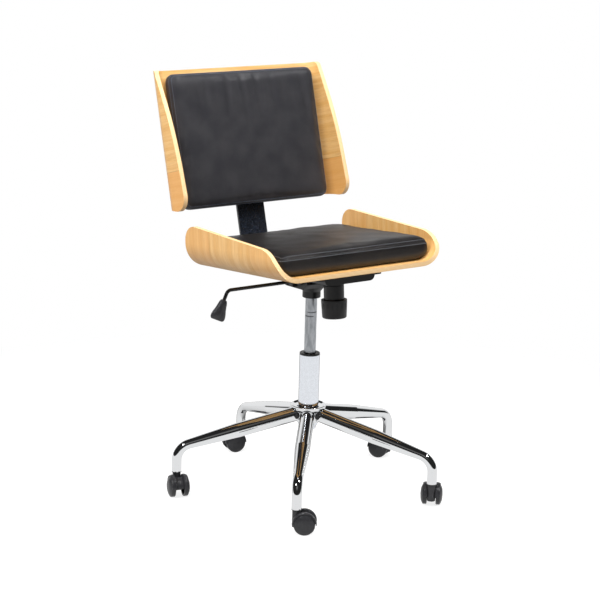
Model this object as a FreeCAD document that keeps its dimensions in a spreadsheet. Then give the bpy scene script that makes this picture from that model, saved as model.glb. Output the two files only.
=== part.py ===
import FreeCAD, Part
import math
import os
import re
import Sketcher

# Bankers swivel chair: five-leg tube base on twin-wheel casters, gas lift, tilt mechanism,
# bent-ply seat and back shells with upholstered pads.
# Millimetres. The origin is on the floor on the column's axis, +Z is up, the sitter faces -Y.

doc = FreeCAD.newDocument("BankersSwivelChair")

SIZES = [
    ("legCount", 5, "legs and casters"),
    ("legAngle", -129.9, "direction of the first leg, degrees from +X"),
    ("legReach", 325, "column axis to caster axis"),
    ("legAxisHeight", 196.7, "height at which the leg lines cross the column axis"),
    ("legSlope", 13.7, "fall of the straight stretch, degrees"),
    ("legRootRadius", 18, "leg tube at the hub"),
    ("legTipRadius", 12, "leg tube at the bend and foot"),
    ("legWall", 1.6, "leg tube wall"),
    ("legTaperStart", 175, "distance from the axis where the taper begins"),
    ("legBend", 40, "bend radius on the centreline"),
    ("legFoot", 58, "height of the open end of the leg"),
    ("hubRadius", 31.5, "outer radius of the hub tube"),
    ("hubTop", 206, "top of the hub tube"),
    ("hubFoot", 170, "bottom of the hub tube"),
    ("dishRadius", 43.2, "radius of the saucer over the hub"),
    ("dishTop", 213, "rim of the saucer"),
    ("dishFoot", 197, "lower edge of the saucer"),
    ("dishFootRadius", 34.2, "saucer radius at its lower edge"),
    ("plugReach", 44, "column axis to the face of the plugs in the gaps between the legs"),
    ("plugThick", 3, "cylindrical part of those plugs"),
    ("plugGap", 0.25, "those plugs to the legs beside them"),
    ("plugLevel", 189, "height of those plugs"),
    ("columnRadius", 25, "gas lift outer tube"),
    ("columnWall", 1.6, "outer tube wall"),
    ("columnFoot", 152, "lower edge of the outer tube"),
    ("columnNeck", 19.5, "outer tube radius at its spun-in foot"),
    ("columnNeckHigh", 5, "height of the spun-in foot"),
    ("columnFootRadius", 24.4, "outer tube radius at the lower end of its taper"),
    ("columnTaperFoot", 164, "lower end of the outer tube's taper"),
    ("columnTop", 339, "upper edge of the outer tube"),
    ("columnFloorThick", 3, "plate that closes the foot"),
    ("bushFlange", 4.5, "guide bush rim height"),
    ("bushLength", 54, "guide bush length in the tube"),
    ("liftRadius", 14, "gas cylinder"),
    ("liftFoot", 290, "bottom of the gas cylinder, seat raised"),
    ("liftDrop", 46.7, "top of the gas cylinder below the seat shell"),
    ("liftTopRadius", 13.3, "gas cylinder radius at its tapered top"),
    ("liftWall", 1.7, "gas cylinder wall"),
    ("liftTravel", 115, "stroke of the gas lift"),
    ("rodRadius", 5, "piston rod"),
    ("pistonRise", 14, "piston above the cylinder's foot, seat raised"),
    ("bearingRadius", 11, "thrust bearing"),
    ("buttonRadius", 4, "release button"),
    ("buttonRise", 8.5, "button above the cylinder's top"),
    ("runFit", 0.05, "radial clearance of turning and sliding fits"),
    ("collarRadius", 22, "taper socket of the tilt housing"),
    ("collarDrop", 77.7, "bottom of the taper socket below the seat shell"),
    ("collarRise", 16, "straight part of the taper socket"),
    ("funnelRadius", 34, "pressed funnel above the socket"),
    ("funnelDrop", 47.7, "top of the funnel below the seat shell"),
    ("seatHeight", 559.7, "underside of the seat shell on the column axis"),
    ("seatTilt", 5, "fall of the seat pan to the rear, degrees"),
    ("seatFront", 198.7, "front edge of the seat shell, along the pan"),
    ("seatRear", 185.5, "rear edge of the seat shell, along the pan"),
    ("seatHalf", 241, "half the outer width of the seat shell"),
    ("plyThick", 11.5, "bent ply"),
    ("seatBend", 60, "outer bend radius of the seat shell"),
    ("wingRise", 89.3, "level tops of the seat wings above the shell's underside"),
    ("wingFrontBend", 72, "front corner radius of the seat wings"),
    ("wingRearBend", 37, "rear corner radius of the seat wings"),
    ("pivotBack", -25, "tilt pivot along the pan"),
    ("pivotDrop", 26, "tilt pivot below the seat shell"),
    ("pivotRadius", 5, "tilt pivot pin"),
    ("sheet", 3, "pressed steel of the mechanism"),
    ("housingHalf", 54, "half the width of the tilt housing"),
    ("housingFront", 52, "front of the tilt housing, along the pan"),
    ("housingRear", 40, "rear of the tilt housing, along the pan"),
    ("housingDeep", 13, "belly of the tilt housing below its front arm"),
    ("housingRise", 12, "upper edge of the tilt housing below the shell"),
    ("plateHalf", 92, "half the width of the seat plate"),
    ("plateFront", 160, "front edge of the seat plate, along the pan"),
    ("plateRear", 44, "rear edge of the seat plate, along the pan"),
    ("plateLip", 11.6, "depth of the seat plate's turned lip"),
    ("panHalf", 73, "half the width of the pressed pan"),
    ("panFront", 150, "front of the pan"),
    ("panRear", 50, "rear of the pan"),
    ("panDeep", 26, "depth of the pan"),
    ("earHalf", 57, "inner face of the pivot ears"),
    ("boltBack", -85, "tension bolt along the pan"),
    ("tensionRadius", 4, "tension bolt"),
    ("tensionHead", 8, "ball head of the tension bolt"),
    ("armDrop", 37, "underside of the housing's front arm below the shell"),
    ("sleeveRadius", 24.3, "spring sleeve"),
    ("sleeveWall", 2, "spring sleeve wall"),
    ("sleeveLength", 52, "spring sleeve"),
    ("knobRadius", 31, "tension knob at its rim"),
    ("knobFootRadius", 29, "tension knob at its foot"),
    ("knobTop", 71.5, "rim of the tension knob below the shell"),
    ("knobHeight", 45, "tension knob"),
    ("springWire", 4.5, "tension spring wire"),
    ("springTurns", 6, "tension spring turns"),
    ("leverDrop", 33.2, "lever rod below the seat shell"),
    ("leverRadius", 4.2, "lever rod"),
    ("leverPivot", 58, "lever fulcrum from the column axis"),
    ("leverInner", 18, "lever rod past the column axis"),
    ("leverReach", 243, "bend of the lever rod from the column axis"),
    ("leverBend", 14, "bend radius of the lever rod"),
    ("leverEndReach", 15, "end of the lever rod past its bend"),
    ("leverEndDrop", 34, "end of the lever rod below its bend"),
    ("gripLength", 50, "lever grip"),
    ("gripHalf", 21, "half the width of the lever grip near its foot"),
    ("gripThick", 10, "half the thickness of the lever grip"),
    ("gripRise", 13, "top of the grip above the end of the rod"),
    ("leverBushRadius", 9, "pivoting bush of the lever"),
    ("barHalf", 40, "half the width of the back bar"),
    ("barThick", 6, "back bar"),
    ("barReach", 234.5, "inner corner of the back bar, along the pan"),
    ("barFront", 48, "front end of the back bar, along the pan"),
    ("barBend", 35, "inner bend radius of the back bar"),
    ("barTop", 300, "top of the back bar above its corner"),
    ("backLean", 15.7, "lean of the back, degrees"),
    ("backHalf", 248, "half the outer width of the back shell"),
    ("backBend", 40, "outer bend radius of the back shell"),
    ("backTop", 473, "top of the back shell above the bar's corner"),
    ("backFoot", 137, "bottom of the back panel above the bar's corner"),
    ("backWingTop", 31, "depth of the back wings at the top"),
    ("backWingMid", 79, "depth of the back wings half way"),
    ("backWingFoot", 94, "depth of the back wings at the foot"),
    ("backWingDrop", 17.5, "back wings below the panel"),
    ("seatPadHalf", 218, "half the width of the seat cushion"),
    ("seatPadFront", 183, "front of the seat cushion, along the pan"),
    ("seatPadRear", 184, "rear of the seat cushion, along the pan"),
    ("seatPadSeam", 43, "seat cushion from the ply to its top seam"),
    ("seatPadCrown", 14, "rise of the seat cushion's crown"),
    ("seatPadCorner", 16, "seat cushion's corners in plan"),
    ("backPadHalf", 216, "half the width of the back cushion"),
    ("backPadFoot", 128, "bottom of the back cushion above the bar's corner"),
    ("backPadTop", 462, "top of the back cushion above the bar's corner"),
    ("backPadSeam", 27, "back cushion from the ply to its front seam"),
    ("backPadCrown", 10, "rise of the back cushion's crown"),
    ("backPadCorner", 20, "back cushion's corners in plan"),
    ("padGap", 0.4, "cushion to ply"),
    ("boardThick", 6, "ply board inside each cushion"),
    ("seatBoardHalf", 174, "half the width of the seat cushion's board"),
    ("backBoardHalf", 188, "half the width of the back cushion's board"),
    ("boardInset", 20, "ends of both boards inside the cushions' ends"),
    ("screwRadius", 3, "seat and back bolts"),
    ("screwHead", 5, "seat and back bolt heads"),
    ("screwHeadHigh", 4, "height of those heads"),
    ("screwGrip", 19, "shank length of those bolts"),
    ("plateBoltFront", 125, "front bolts of the seat plate, along the pan"),
    ("plateBoltWide", 79.5, "front bolts of the seat plate from the middle"),
    ("plateBoltRear", 28, "rear bolts of the seat plate, along the pan"),
    ("plateBoltNarrow", 70, "rear bolts of the seat plate from the middle"),
    ("barBoltHalf", 25, "bolts of the bar under the seat from the middle"),
    ("barBoltFront", 70, "front bolts of the bar, along the pan"),
    ("barBoltRear", 150, "rear bolts of the bar, along the pan"),
    ("backBoltHalf", 22, "bolts of the bar at the back from the middle"),
    ("backBoltLow", 170, "lower bolts of the back above the bar's corner"),
    ("backBoltHigh", 270, "upper bolts of the back above the bar's corner"),
    ("wheelRadius", 25, "caster wheel"),
    ("wheelWidth", 16, "width of one wheel at its domed hub"),
    ("treadWidth", 9.5, "width of one wheel's tread"),
    ("webWidth", 22, "gap between the two wheels"),
    ("wheelGap", 1, "wheel to hood"),
    ("hoodWall", 3.2, "hood over the wheels"),
    ("hoodValley", 7, "half the width of the hood's middle groove"),
    ("hoodWaist", 22, "axle to the floor of that groove"),
    ("stemBoss", 9.8, "boss round the stem, and the axle's boss"),
    ("stemBossFoot", 15, "lower end of the stem's boss above the floor"),
    ("casterTrail", 19, "swivel axis to axle"),
    ("axleRadius", 3, "caster axle"),
    ("stemRadius", 5.5, "caster stem"),
    ("stemSeat", 21, "caster stem above the foot of the leg"),
    ("socketRim", 2, "rim of the caster socket under the leg"),
    ("casterTurn1", 324, "photographed swivel of each caster, degrees from +X"),
    ("casterTurn2", 48, ""),
    ("casterTurn3", 120, ""),
    ("casterTurn4", 168, ""),
    ("casterTurn5", 252, ""),
]

# Heights above the floor that follow from the sizes above
HEIGHTS = [
    ("liftTop", "=seatHeight - liftDrop", "top of the gas cylinder, seat raised"),
    ("collarFoot", "=seatHeight - collarDrop", "bottom of the taper socket"),
    ("funnelTop", "=seatHeight - funnelDrop", "top of the funnel"),
    ("leverHeight", "=seatHeight - leverDrop", "lever rod"),
    ("wingTop", "=seatHeight + wingRise", "level tops of the seat wings"),
    ("bendReach", "=legBend * tan((90 - legSlope) / 2)", "tangent length of the leg's bend"),
    ("bendFoot", "=legAxisHeight - legReach * tan(legSlope) - bendReach", "lower end of the leg's bend"),
    ("stemTop", "=min(legFoot + stemSeat; bendFoot - 7)", "top of the caster stem"),
]

sheet = doc.addObject("Spreadsheet::Sheet", "Sizes")
for row, (alias, value, note) in enumerate(SIZES + HEIGHTS, start=1):
    sheet.set("A%d" % row, alias)
    sheet.set("B%d" % row, str(value))
    sheet.setAlias("B%d" % row, alias)
    sheet.set("C%d" % row, note)
doc.recompute()

ALIASES = {alias for alias, value, note in SIZES + HEIGHTS}
V = FreeCAD.Vector
X_AXIS = V(1, 0, 0)
Y_AXIS = V(0, 1, 0)
Z_AXIS = V(0, 0, 1)
NODES = []


def cells(text):
    """Turn bare size names into references to the sheet."""
    return re.sub(r"[A-Za-z]\w*", lambda m: "Sizes." + m.group(0) if m.group(0) in ALIASES else m.group(0),
                  str(text))


def num(text):
    """The value of an expression on the sheet."""
    return float(sheet.evalExpression(cells(text)))


def bind(thing, prop, text):
    """Tie a property to an expression on the sheet."""
    thing.setExpression(prop, cells(text))


def place(thing, at=(0, 0, 0), turn=None):
    """Put a primitive at a point whose coordinates are expressions, turned about an axis."""
    axis, angle = turn or (Z_AXIS, 0)
    thing.Placement = FreeCAD.Placement(V(0, 0, 0), FreeCAD.Rotation(axis, num(angle)))
    for key, text in zip("xyz", at):
        bind(thing, "Placement.Base." + key, text)
    return thing


def cylinder(name, radius, height, at=(0, 0, 0), turn=None, angle=360):
    thing = doc.addObject("Part::Cylinder", name)
    bind(thing, "Radius", radius)
    bind(thing, "Height", height)
    bind(thing, "Angle", angle)
    return place(thing, at, turn)


def cone(name, radius1, radius2, height, at=(0, 0, 0), turn=None):
    thing = doc.addObject("Part::Cone", name)
    bind(thing, "Radius1", radius1)
    bind(thing, "Radius2", radius2)
    bind(thing, "Height", height)
    return place(thing, at, turn)


def box(name, length, width, height, at=(0, 0, 0), turn=None):
    thing = doc.addObject("Part::Box", name)
    bind(thing, "Length", length)
    bind(thing, "Width", width)
    bind(thing, "Height", height)
    return place(thing, at, turn)


def ball(name, radius, at=(0, 0, 0)):
    thing = doc.addObject("Part::Sphere", name)
    bind(thing, "Radius", radius)
    return place(thing, at)


def fuse(name, *things):
    thing = doc.addObject("Part::MultiFuse", name)
    thing.Shapes = list(things)
    thing.Refine = True
    return thing


def cut(name, base, *tools):
    thing = doc.addObject("Part::Cut", name)
    thing.Base = base
    thing.Tool = tools[0] if len(tools) == 1 else fuse(name + "Tools", *tools)
    return thing


def group(name, *things):
    thing = doc.addObject("Part::Compound", name)
    thing.Links = list(things)
    return thing


def origin_plane(body, role):
    return [f for f in body.Origin.OriginFeatures if f.Role == role][0]


def outline(body, role, name, corners, offset="0"):
    """A closed sketch through corners (x, y) or (x, y, radius), each an expression."""
    sketch = body.newObject("Sketcher::SketchObject", name)
    sketch.AttachmentSupport = [(origin_plane(body, role), "")]
    sketch.MapMode = "FlatFace"
    bind(sketch, "AttachmentOffset.Base.z", offset)
    points = [V(num(c[0]), num(c[1]), 0) for c in corners]
    radii = [num(c[2]) if len(c) > 2 else 0 for c in corners]
    count = len(corners)
    entry, leave, arcs = [], [], {}
    for i in range(count):
        here = points[i]
        before = (points[i - 1] - here).normalize()
        after = (points[(i + 1) % count] - here).normalize()
        half = before.getAngle(after) / 2
        reach = radii[i] / math.tan(half) if radii[i] else 0
        entry.append(here + before * reach)
        leave.append(here + after * reach)
        if radii[i]:
            centre = here + (before + after).normalize() * (radii[i] / math.sin(half))
            arcs[i] = (centre, radii[i], before.cross(after).z < 0)
    lines = []
    for i in range(count):
        lines.append(sketch.addGeometry(Part.LineSegment(leave[i], entry[(i + 1) % count]), False))
    for i in range(count):
        line_in, line_out = lines[i - 1], lines[i]
        if i not in arcs:
            sketch.addConstraint(Sketcher.Constraint("Coincident", line_in, 2, line_out, 1))
            anchor, end = line_out, 1
        else:
            centre, radius, left = arcs[i]
            first, last = (entry[i], leave[i]) if left else (leave[i], entry[i])
            start = math.atan2(first.y - centre.y, first.x - centre.x)
            stop = math.atan2(last.y - centre.y, last.x - centre.x)
            circle = Part.Circle(centre, Z_AXIS, radius)
            arc = sketch.addGeometry(Part.ArcOfCircle(circle, start, stop), False)
            corner = sketch.addGeometry(Part.Point(points[i]), True)
            ends = (1, 2) if left else (2, 1)
            sketch.addConstraint(Sketcher.Constraint("Tangent", line_in, 2, arc, ends[0]))
            sketch.addConstraint(Sketcher.Constraint("Tangent", line_out, 1, arc, ends[1]))
            sketch.addConstraint(Sketcher.Constraint("PointOnObject", corner, 1, line_in))
            sketch.addConstraint(Sketcher.Constraint("PointOnObject", corner, 1, line_out))
            number = sketch.addConstraint(Sketcher.Constraint("Radius", arc, radius))
            bind(sketch, "Constraints[%d]" % number, corners[i][2])
            anchor, end = corner, 1
        for kind, axis in (("DistanceX", 0), ("DistanceY", 1)):
            number = sketch.addConstraint(Sketcher.Constraint(kind, -1, 1, anchor, end, points[i][axis]))
            bind(sketch, "Constraints[%d]" % number, corners[i][axis])
    return sketch


def new_body(name):
    return doc.addObject("PartDesign::Body", name)


def turned(name, corners):
    """A body revolved about Z from an outline of (radius, height) corners."""
    body = new_body(name)
    sketch = outline(body, "XZ_Plane", name + "Profile", corners)
    feature = body.newObject("PartDesign::Revolution", name + "Turn")
    feature.Profile = sketch
    feature.ReferenceAxis = (sketch, ["V_Axis"])
    feature.Angle = 360
    return body


def pad(body, sketch, length, symmetric=False, reverse=False):
    feature = body.newObject("PartDesign::Pad", sketch.Name + "Pad")
    feature.Profile = sketch
    feature.SideType = "Symmetric" if symmetric else "One side"
    feature.Reversed = reverse
    bind(feature, "Length", length)
    return feature


def pocket(body, sketch, length, symmetric=False, reverse=False):
    feature = body.newObject("PartDesign::Pocket", sketch.Name + "Pocket")
    feature.Profile = sketch
    feature.Type = "Length"
    feature.SideType = "Symmetric" if symmetric else "One side"
    feature.Reversed = reverse
    bind(feature, "Length", length)
    return feature


def round_edges(body, name, base, radius, chosen):
    """Fillet the edges of a feature that the test picks."""
    doc.recompute()
    feature = body.newObject("PartDesign::Fillet", name)
    feature.Base = (base, ["Edge%d" % (i + 1) for i, e in enumerate(base.Shape.Edges) if chosen(e)])
    bind(feature, "Radius", radius)
    return feature


def keep(thing, node, frame=None):
    """Give a finished sub-part its node name and its place in the chair."""
    thing.Label = node
    if frame is not None:
        thing.Placement = frame
    NODES.append(thing)
    return thing


def turn_z(degrees):
    return FreeCAD.Placement(V(0, 0, 0), FreeCAD.Rotation(Z_AXIS, degrees))


# The seat frame lies on the underside of the seat shell, its Y along the pan towards the rear.
# The back frame stands on the inner corner of the back bar, its Z up the back, its Y to the rear.
SEAT = FreeCAD.Placement(V(0, 0, num("seatHeight")), FreeCAD.Rotation(X_AXIS, -num("seatTilt")))
BACK = FreeCAD.Placement(SEAT.multVec(V(0, num("barReach"), 0)), FreeCAD.Rotation(X_AXIS, -num("backLean")))

LEGS = int(num("legCount"))
LEG_DIRECTIONS = [num("legAngle") + 360.0 * i / LEGS for i in range(LEGS)]


# Base: hub, saucer, legs, clamp bolts and caster sockets

def column_radius(height):
    """Outer radius of the column's tapered foot at a height."""
    return ("columnFootRadius + (columnRadius - columnFootRadius) * (%s - columnTaperFoot)"
            " / (hubTop - columnTaperFoot)" % height)


hub = turned("Hub", [
    (column_radius("hubFoot"), "hubFoot"),
    ("hubRadius", "hubFoot", "2.5"),
    ("hubRadius", "hubTop"),
    ("columnRadius", "hubTop"),
])


def leg_line(distance):
    """Height of the leg's centreline at a distance from the column axis."""
    return "legAxisHeight - (%s) * tan(legSlope)" % distance


LEG_START = "20"
BEND_START = "legReach - bendReach * cos(legSlope)"
LEG_DOWN = (Y_AXIS, "90 + legSlope")


def leg_solids(name, slack):
    """The leg in its own frame, outwards along +X; slack widens or narrows the tube."""
    straight = cylinder(name + "Straight", "legRootRadius + %s" % slack,
                        "(legTaperStart - %s) / cos(legSlope)" % LEG_START,
                        (LEG_START, "0", leg_line(LEG_START)), LEG_DOWN)
    taper = cone(name + "Taper", "legRootRadius + %s" % slack, "legTipRadius + %s" % slack,
                 "(%s - legTaperStart) / cos(legSlope)" % BEND_START,
                 ("legTaperStart", "0", leg_line("legTaperStart")), LEG_DOWN)
    return [straight, taper]


def make_leg(index):
    name = "Leg%d" % index
    solids = leg_solids(name, "0")
    bend = doc.addObject("Part::Torus", name + "Bend")
    bind(bend, "Radius1", "legBend")
    bind(bend, "Radius2", "legTipRadius")
    bind(bend, "Angle3", "90 - legSlope")
    place(bend, ("legReach - legBend", "0", "bendFoot"), (X_AXIS, "90"))
    tail = cylinder(name + "Tail", "legTipRadius", "bendFoot - legFoot", ("legReach", "0", "legFoot"))
    cavity = leg_solids(name + "Cavity", "-legWall")
    bore = cylinder(name + "Bore", "legTipRadius - legWall", "bendFoot - legFoot", ("legReach", "0", "legFoot"))
    hub_space = cylinder(name + "HubSpace", "hubRadius", "legAxisHeight + 2 * legRootRadius", ("0", "0", "0"))
    return cut(name, fuse(name + "Outer", bend, tail, *solids), hub_space, bore, *cavity)


legs = []
for i, direction in enumerate(LEG_DIRECTIONS):
    legs.append(keep(make_leg(i + 1), "base_leg_%d" % (i + 1), turn_z(direction)))

keep(hub, "base_hub")

dish = turned("Dish", [
    ("columnRadius + 3 * runFit", "hubTop"),
    ("hubRadius + 3 * runFit", "hubTop"),
    ("hubRadius + 3 * runFit", "dishFoot"),
    ("dishFootRadius", "dishFoot"),
    ("dishRadius", "dishTop - 8", "8"),
    ("dishRadius", "dishTop", "1.6"),
    ("dishRadius - 3.5", "dishTop", "1.6"),
    ("dishRadius - 8", "hubTop + 3.2", "4"),
    ("columnRadius + 3 * runFit", "hubTop + 2"),
])
notches = []
for i, direction in enumerate(LEG_DIRECTIONS):
    notch = cylinder("LegNotch%d" % (i + 1), "legRootRadius + 3 * runFit", "60",
                     (LEG_START, "0", leg_line(LEG_START)), LEG_DOWN)
    turned_notch = group("LegNotchTurned%d" % (i + 1), notch)
    turned_notch.Placement = turn_z(direction)
    notches.append(turned_notch)
keep(cut("DishNotched", dish, *notches), "hub_saucer")



def plug_radius(distance):
    """Half the gap between two legs at a distance from the column axis, less the clearance."""
    return "(%s) * sin(180 / legCount) - legRootRadius - plugGap" % distance


plugs = []
for i, direction in enumerate(LEG_DIRECTIONS):
    name = "HubPlug%d" % (i + 1)
    disc_foot = "plugReach - plugThick"
    wedge = cone(name + "Wedge", plug_radius("hubRadius"), plug_radius(disc_foot),
                 "plugReach - plugThick - hubRadius", ("hubRadius", "0", "plugLevel"), (Y_AXIS, "90"))
    disc = cylinder(name + "Disc", plug_radius(disc_foot), "plugThick", (disc_foot, "0", "plugLevel"), (Y_AXIS, "90"))
    plug = fuse(name, wedge, disc)
    plug.Placement = turn_z(direction + 180.0 / LEGS)
    plugs.append(plug)
keep(group("HubPlugs", *plugs), "hub_plugs")

sockets = []
for i, direction in enumerate(LEG_DIRECTIONS):
    name = "Socket%d" % (i + 1)
    rim = cylinder(name + "Rim", "legTipRadius", "socketRim", ("legReach", "0", "legFoot - socketRim"))
    plug = cylinder(name + "Plug", "legTipRadius - legWall", "stemTop + 3 - legFoot", ("legReach", "0", "legFoot"))
    bore = cylinder(name + "Bore", "stemRadius + runFit", "stemTop + 1 - legFoot + socketRim",
                    ("legReach", "0", "legFoot - socketRim"))
    socket = cut(name, fuse(name + "Body", rim, plug), bore)
    socket.Placement = turn_z(direction)
    sockets.append(socket)
keep(group("Sockets", *sockets), "caster_sockets")

# Gas lift: outer tube, guide bush, thrust bearing, piston rod with its clip, gas cylinder, button

keep(turned("Column", [
    ("rodRadius + 1", "columnFoot"),
    ("columnNeck", "columnFoot", "1"),
    ("columnNeck", "columnFoot + columnNeckHigh", "1.5"),
    ("columnFootRadius", "columnTaperFoot", "3"),
    ("columnRadius", "hubTop"),
    ("columnRadius", "columnTop"),
    ("columnRadius - columnWall", "columnTop"),
    ("columnRadius - columnWall", "hubTop"),
    ("columnFootRadius - columnWall", "columnTaperFoot + 1"),
    ("columnNeck - columnWall", "columnFoot + columnNeckHigh + 1"),
    ("columnNeck - columnWall", "columnFoot + columnFloorThick"),
    ("rodRadius + 1", "columnFoot + columnFloorThick"),
]), "column_tube")

bush = turned("Bush", [
    ("liftRadius + runFit", "columnTop - bushLength"),
    ("columnRadius - columnWall", "columnTop - bushLength"),
    ("columnRadius - columnWall", "columnTop"),
    ("columnRadius - 0.3", "columnTop"),
    ("columnRadius - 0.3", "columnTop + bushFlange", "1"),
    ("liftRadius + 2.5", "columnTop + bushFlange"),
    ("liftRadius + runFit", "columnTop + bushFlange - 1.5"),
])
slot = outline(bush, "XY_Plane", "BushSlot", [
    ("liftRadius + 4", "-1.5"),
    ("columnRadius - 3", "-1.5"),
    ("columnRadius - 3", "1.5"),
    ("liftRadius + 4", "1.5"),
], "columnTop + bushFlange")
bush_slot = pocket(bush, slot, "bushFlange - 1")
doc.recompute()
slots = bush.newObject("PartDesign::PolarPattern", "BushSlots")
slots.Originals = [bush_slot]
slots.Axis = (slot, ["N_Axis"])
slots.Angle = 360
slots.Occurrences = 8
bush.Tip = slots
keep(bush, "column_bush")


def ring(name, inner, outer, foot, height):
    return cut(name, cylinder(name + "Outer", outer, height, ("0", "0", foot)),
               cylinder(name + "Inner", inner, height, ("0", "0", foot)))


BEARING_FOOT = "columnFoot + columnFloorThick"
keep(group("Bearing",
           ring("BearingLower", "rodRadius + 0.5", "bearingRadius", BEARING_FOOT, "2"),
           ring("BearingCage", "rodRadius + 1.5", "bearingRadius - 0.6", BEARING_FOOT + " + 2", "3.5"),
           ring("BearingUpper", "rodRadius + 0.5", "bearingRadius", BEARING_FOOT + " + 5.5", "2")),
     "thrust_bearing")

keep(turned("Rod", [
    ("0", "columnFoot - 5"),
    ("rodRadius", "columnFoot - 5", "0.8"),
    ("rodRadius", "columnFoot - 2.6"),
    ("rodRadius - 0.8", "columnFoot - 2.6"),
    ("rodRadius - 0.8", "columnFoot - 0.6"),
    ("rodRadius", "columnFoot - 0.6"),
    ("rodRadius", BEARING_FOOT + " + 7.6"),
    ("rodRadius + 3", BEARING_FOOT + " + 7.6"),
    ("rodRadius + 3", BEARING_FOOT + " + 12"),
    ("rodRadius", BEARING_FOOT + " + 12"),
    ("rodRadius", "liftFoot + pistonRise"),
    ("liftRadius - liftWall - 2 * runFit", "liftFoot + pistonRise"),
    ("liftRadius - liftWall - 2 * runFit", "liftFoot + pistonRise + 12"),
    ("rodRadius", "liftFoot + pistonRise + 12"),
    ("rodRadius", "liftFoot + pistonRise + 16"),
    ("0", "liftFoot + pistonRise + 16"),
]), "piston_rod")

clip_ring = ring("ClipRing", "rodRadius - 0.75", "rodRadius + 4", "columnFoot - 2.4", "1.6")
clip_gap = box("ClipGap", "rodRadius * 2", "rodRadius", "2", ("0", "-rodRadius / 2", "columnFoot - 2.6"))
keep(cut("RodClip", clip_ring, clip_gap), "rod_clip")

keep(turned("Lift", [
    ("rodRadius + runFit", "liftFoot"),
    ("liftRadius", "liftFoot"),
    ("liftRadius", "collarFoot"),
    ("liftTopRadius", "liftTop"),
    ("buttonRadius + runFit", "liftTop"),
    ("buttonRadius + runFit", "liftTop - 12"),
    ("liftTopRadius - liftWall", "liftTop - 12"),
    ("liftRadius - liftWall", "collarFoot"),
    ("liftRadius - liftWall", "liftFoot + 8"),
    ("rodRadius + runFit", "liftFoot + 8"),
]), "gas_cylinder")

keep(turned("Button", [
    ("0", "liftTop - 8"),
    ("buttonRadius", "liftTop - 8"),
    ("buttonRadius", "liftTop + buttonRise", "1"),
    ("0", "liftTop + buttonRise"),
]), "release_button")

# Tilt housing: a pressed channel with a taper socket, seen in the seat frame

HOUSING = [
    ("-housingFront", "-armDrop"),
    ("-housingFront + 16", "-armDrop - housingDeep", "6"),
    ("housingRear", "-armDrop - housingDeep + 4", "5"),
    ("housingRear", "-housingRise - 9"),
    ("-8", "-housingRise", "12"),
    ("-housingFront + 11", "-housingRise", "8"),
    ("-housingFront + 6", "-pivotDrop - 0.4"),
    ("-housingFront", "-pivotDrop - 0.4"),
]
channel = new_body("Channel")
pad(channel, outline(channel, "YZ_Plane", "ChannelSide", HOUSING), "2 * housingHalf", symmetric=True)
pocket(channel, outline(channel, "YZ_Plane", "ChannelInside", [
    ("-housingFront - 8", "0"),
    ("-housingFront - 8", "-armDrop + sheet"),
    ("-housingFront + sheet / 4", "-armDrop + sheet"),
    ("-housingFront + 16 + sheet / 4", "-armDrop - housingDeep + sheet", "4"),
    ("housingRear - sheet", "-armDrop - housingDeep + 4 + sheet", "3"),
    ("housingRear - sheet", "0"),
]), "2 * (housingHalf - sheet)", symmetric=True)
arm_box = box("ArmBox", "2 * sleeveRadius", "-boltBack - housingFront + 6", "armDrop - pivotDrop - 0.4",
              ("-sleeveRadius", "boltBack", "-armDrop"))
arm_nose = cylinder("ArmNose", "sleeveRadius", "armDrop - pivotDrop - 0.4", ("0", "boltBack", "-armDrop"))
spring_arm = fuse("SpringArm", arm_box, arm_nose, channel)
spring_arm.Placement = SEAT

socket_shell = turned("TaperSocket", [
    ("liftRadius", "collarFoot"),
    ("collarRadius", "collarFoot", "1.5"),
    ("collarRadius", "collarFoot + collarRise", "2"),
    ("funnelRadius", "funnelTop"),
    ("funnelRadius", "funnelTop + 2"),
    ("liftTopRadius", "funnelTop + 2"),
    ("liftTopRadius", "liftTop"),
])
ears = []
for side in (-1, 1):
    ears.append(box("LeverEar%d" % (side + 2), "16", "3", "20",
                    ("-leverPivot - 8", "%d * (leverBushRadius + 2.5) - 1.5" % side, "leverHeight - 10")))
lift_seat = cone("LiftSeat", "liftRadius", "liftTopRadius", "liftTop - collarFoot", ("0", "0", "collarFoot"))
lift_mouth = cylinder("LiftMouth", "liftTopRadius", "12", ("0", "0", "liftTop"))
window = box("LeverWindow", "24", "2 * leverBushRadius + 2", "2 * leverBushRadius + 2",
             ("-leverPivot - 12", "-leverBushRadius - 1", "leverHeight - leverBushRadius - 1"))
ear_bore = cylinder("EarBore", "3 + runFit", "40", ("-leverPivot", "20", "leverHeight"), (X_AXIS, "90"))


def in_seat(name, *things):
    """Primitives given in the seat frame, carried into the chair's frame."""
    thing = group(name, *things)
    thing.Placement = SEAT
    return thing


pin_bore = in_seat("PinBore", cylinder("PinBoreTool", "pivotRadius + runFit", "300",
                                       ("-150", "pivotBack", "-pivotDrop"), (Y_AXIS, "90")))
bolt_bore = in_seat("BoltBore", cylinder("BoltBoreTool", "tensionRadius + 0.3", "30", ("0", "boltBack", "-armDrop - 10")))
housing = fuse("Housing", spring_arm, socket_shell, *ears)
keep(cut("HousingBored", housing, lift_seat, lift_mouth, window, ear_bore, pin_bore, bolt_bore), "tilt_housing")

keep(cylinder("PivotPin", "pivotRadius", "2 * (earHalf + sheet + 4)",
              ("-(earHalf + sheet + 4)", "pivotBack", "-pivotDrop"), (Y_AXIS, "90")), "pivot_pin")
pivot_pin = NODES.pop()
keep(in_seat("PivotPinPlaced", pivot_pin), "tilt_pivot_pin")
pivot_pin.Label = "PivotPinTurned"

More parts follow.
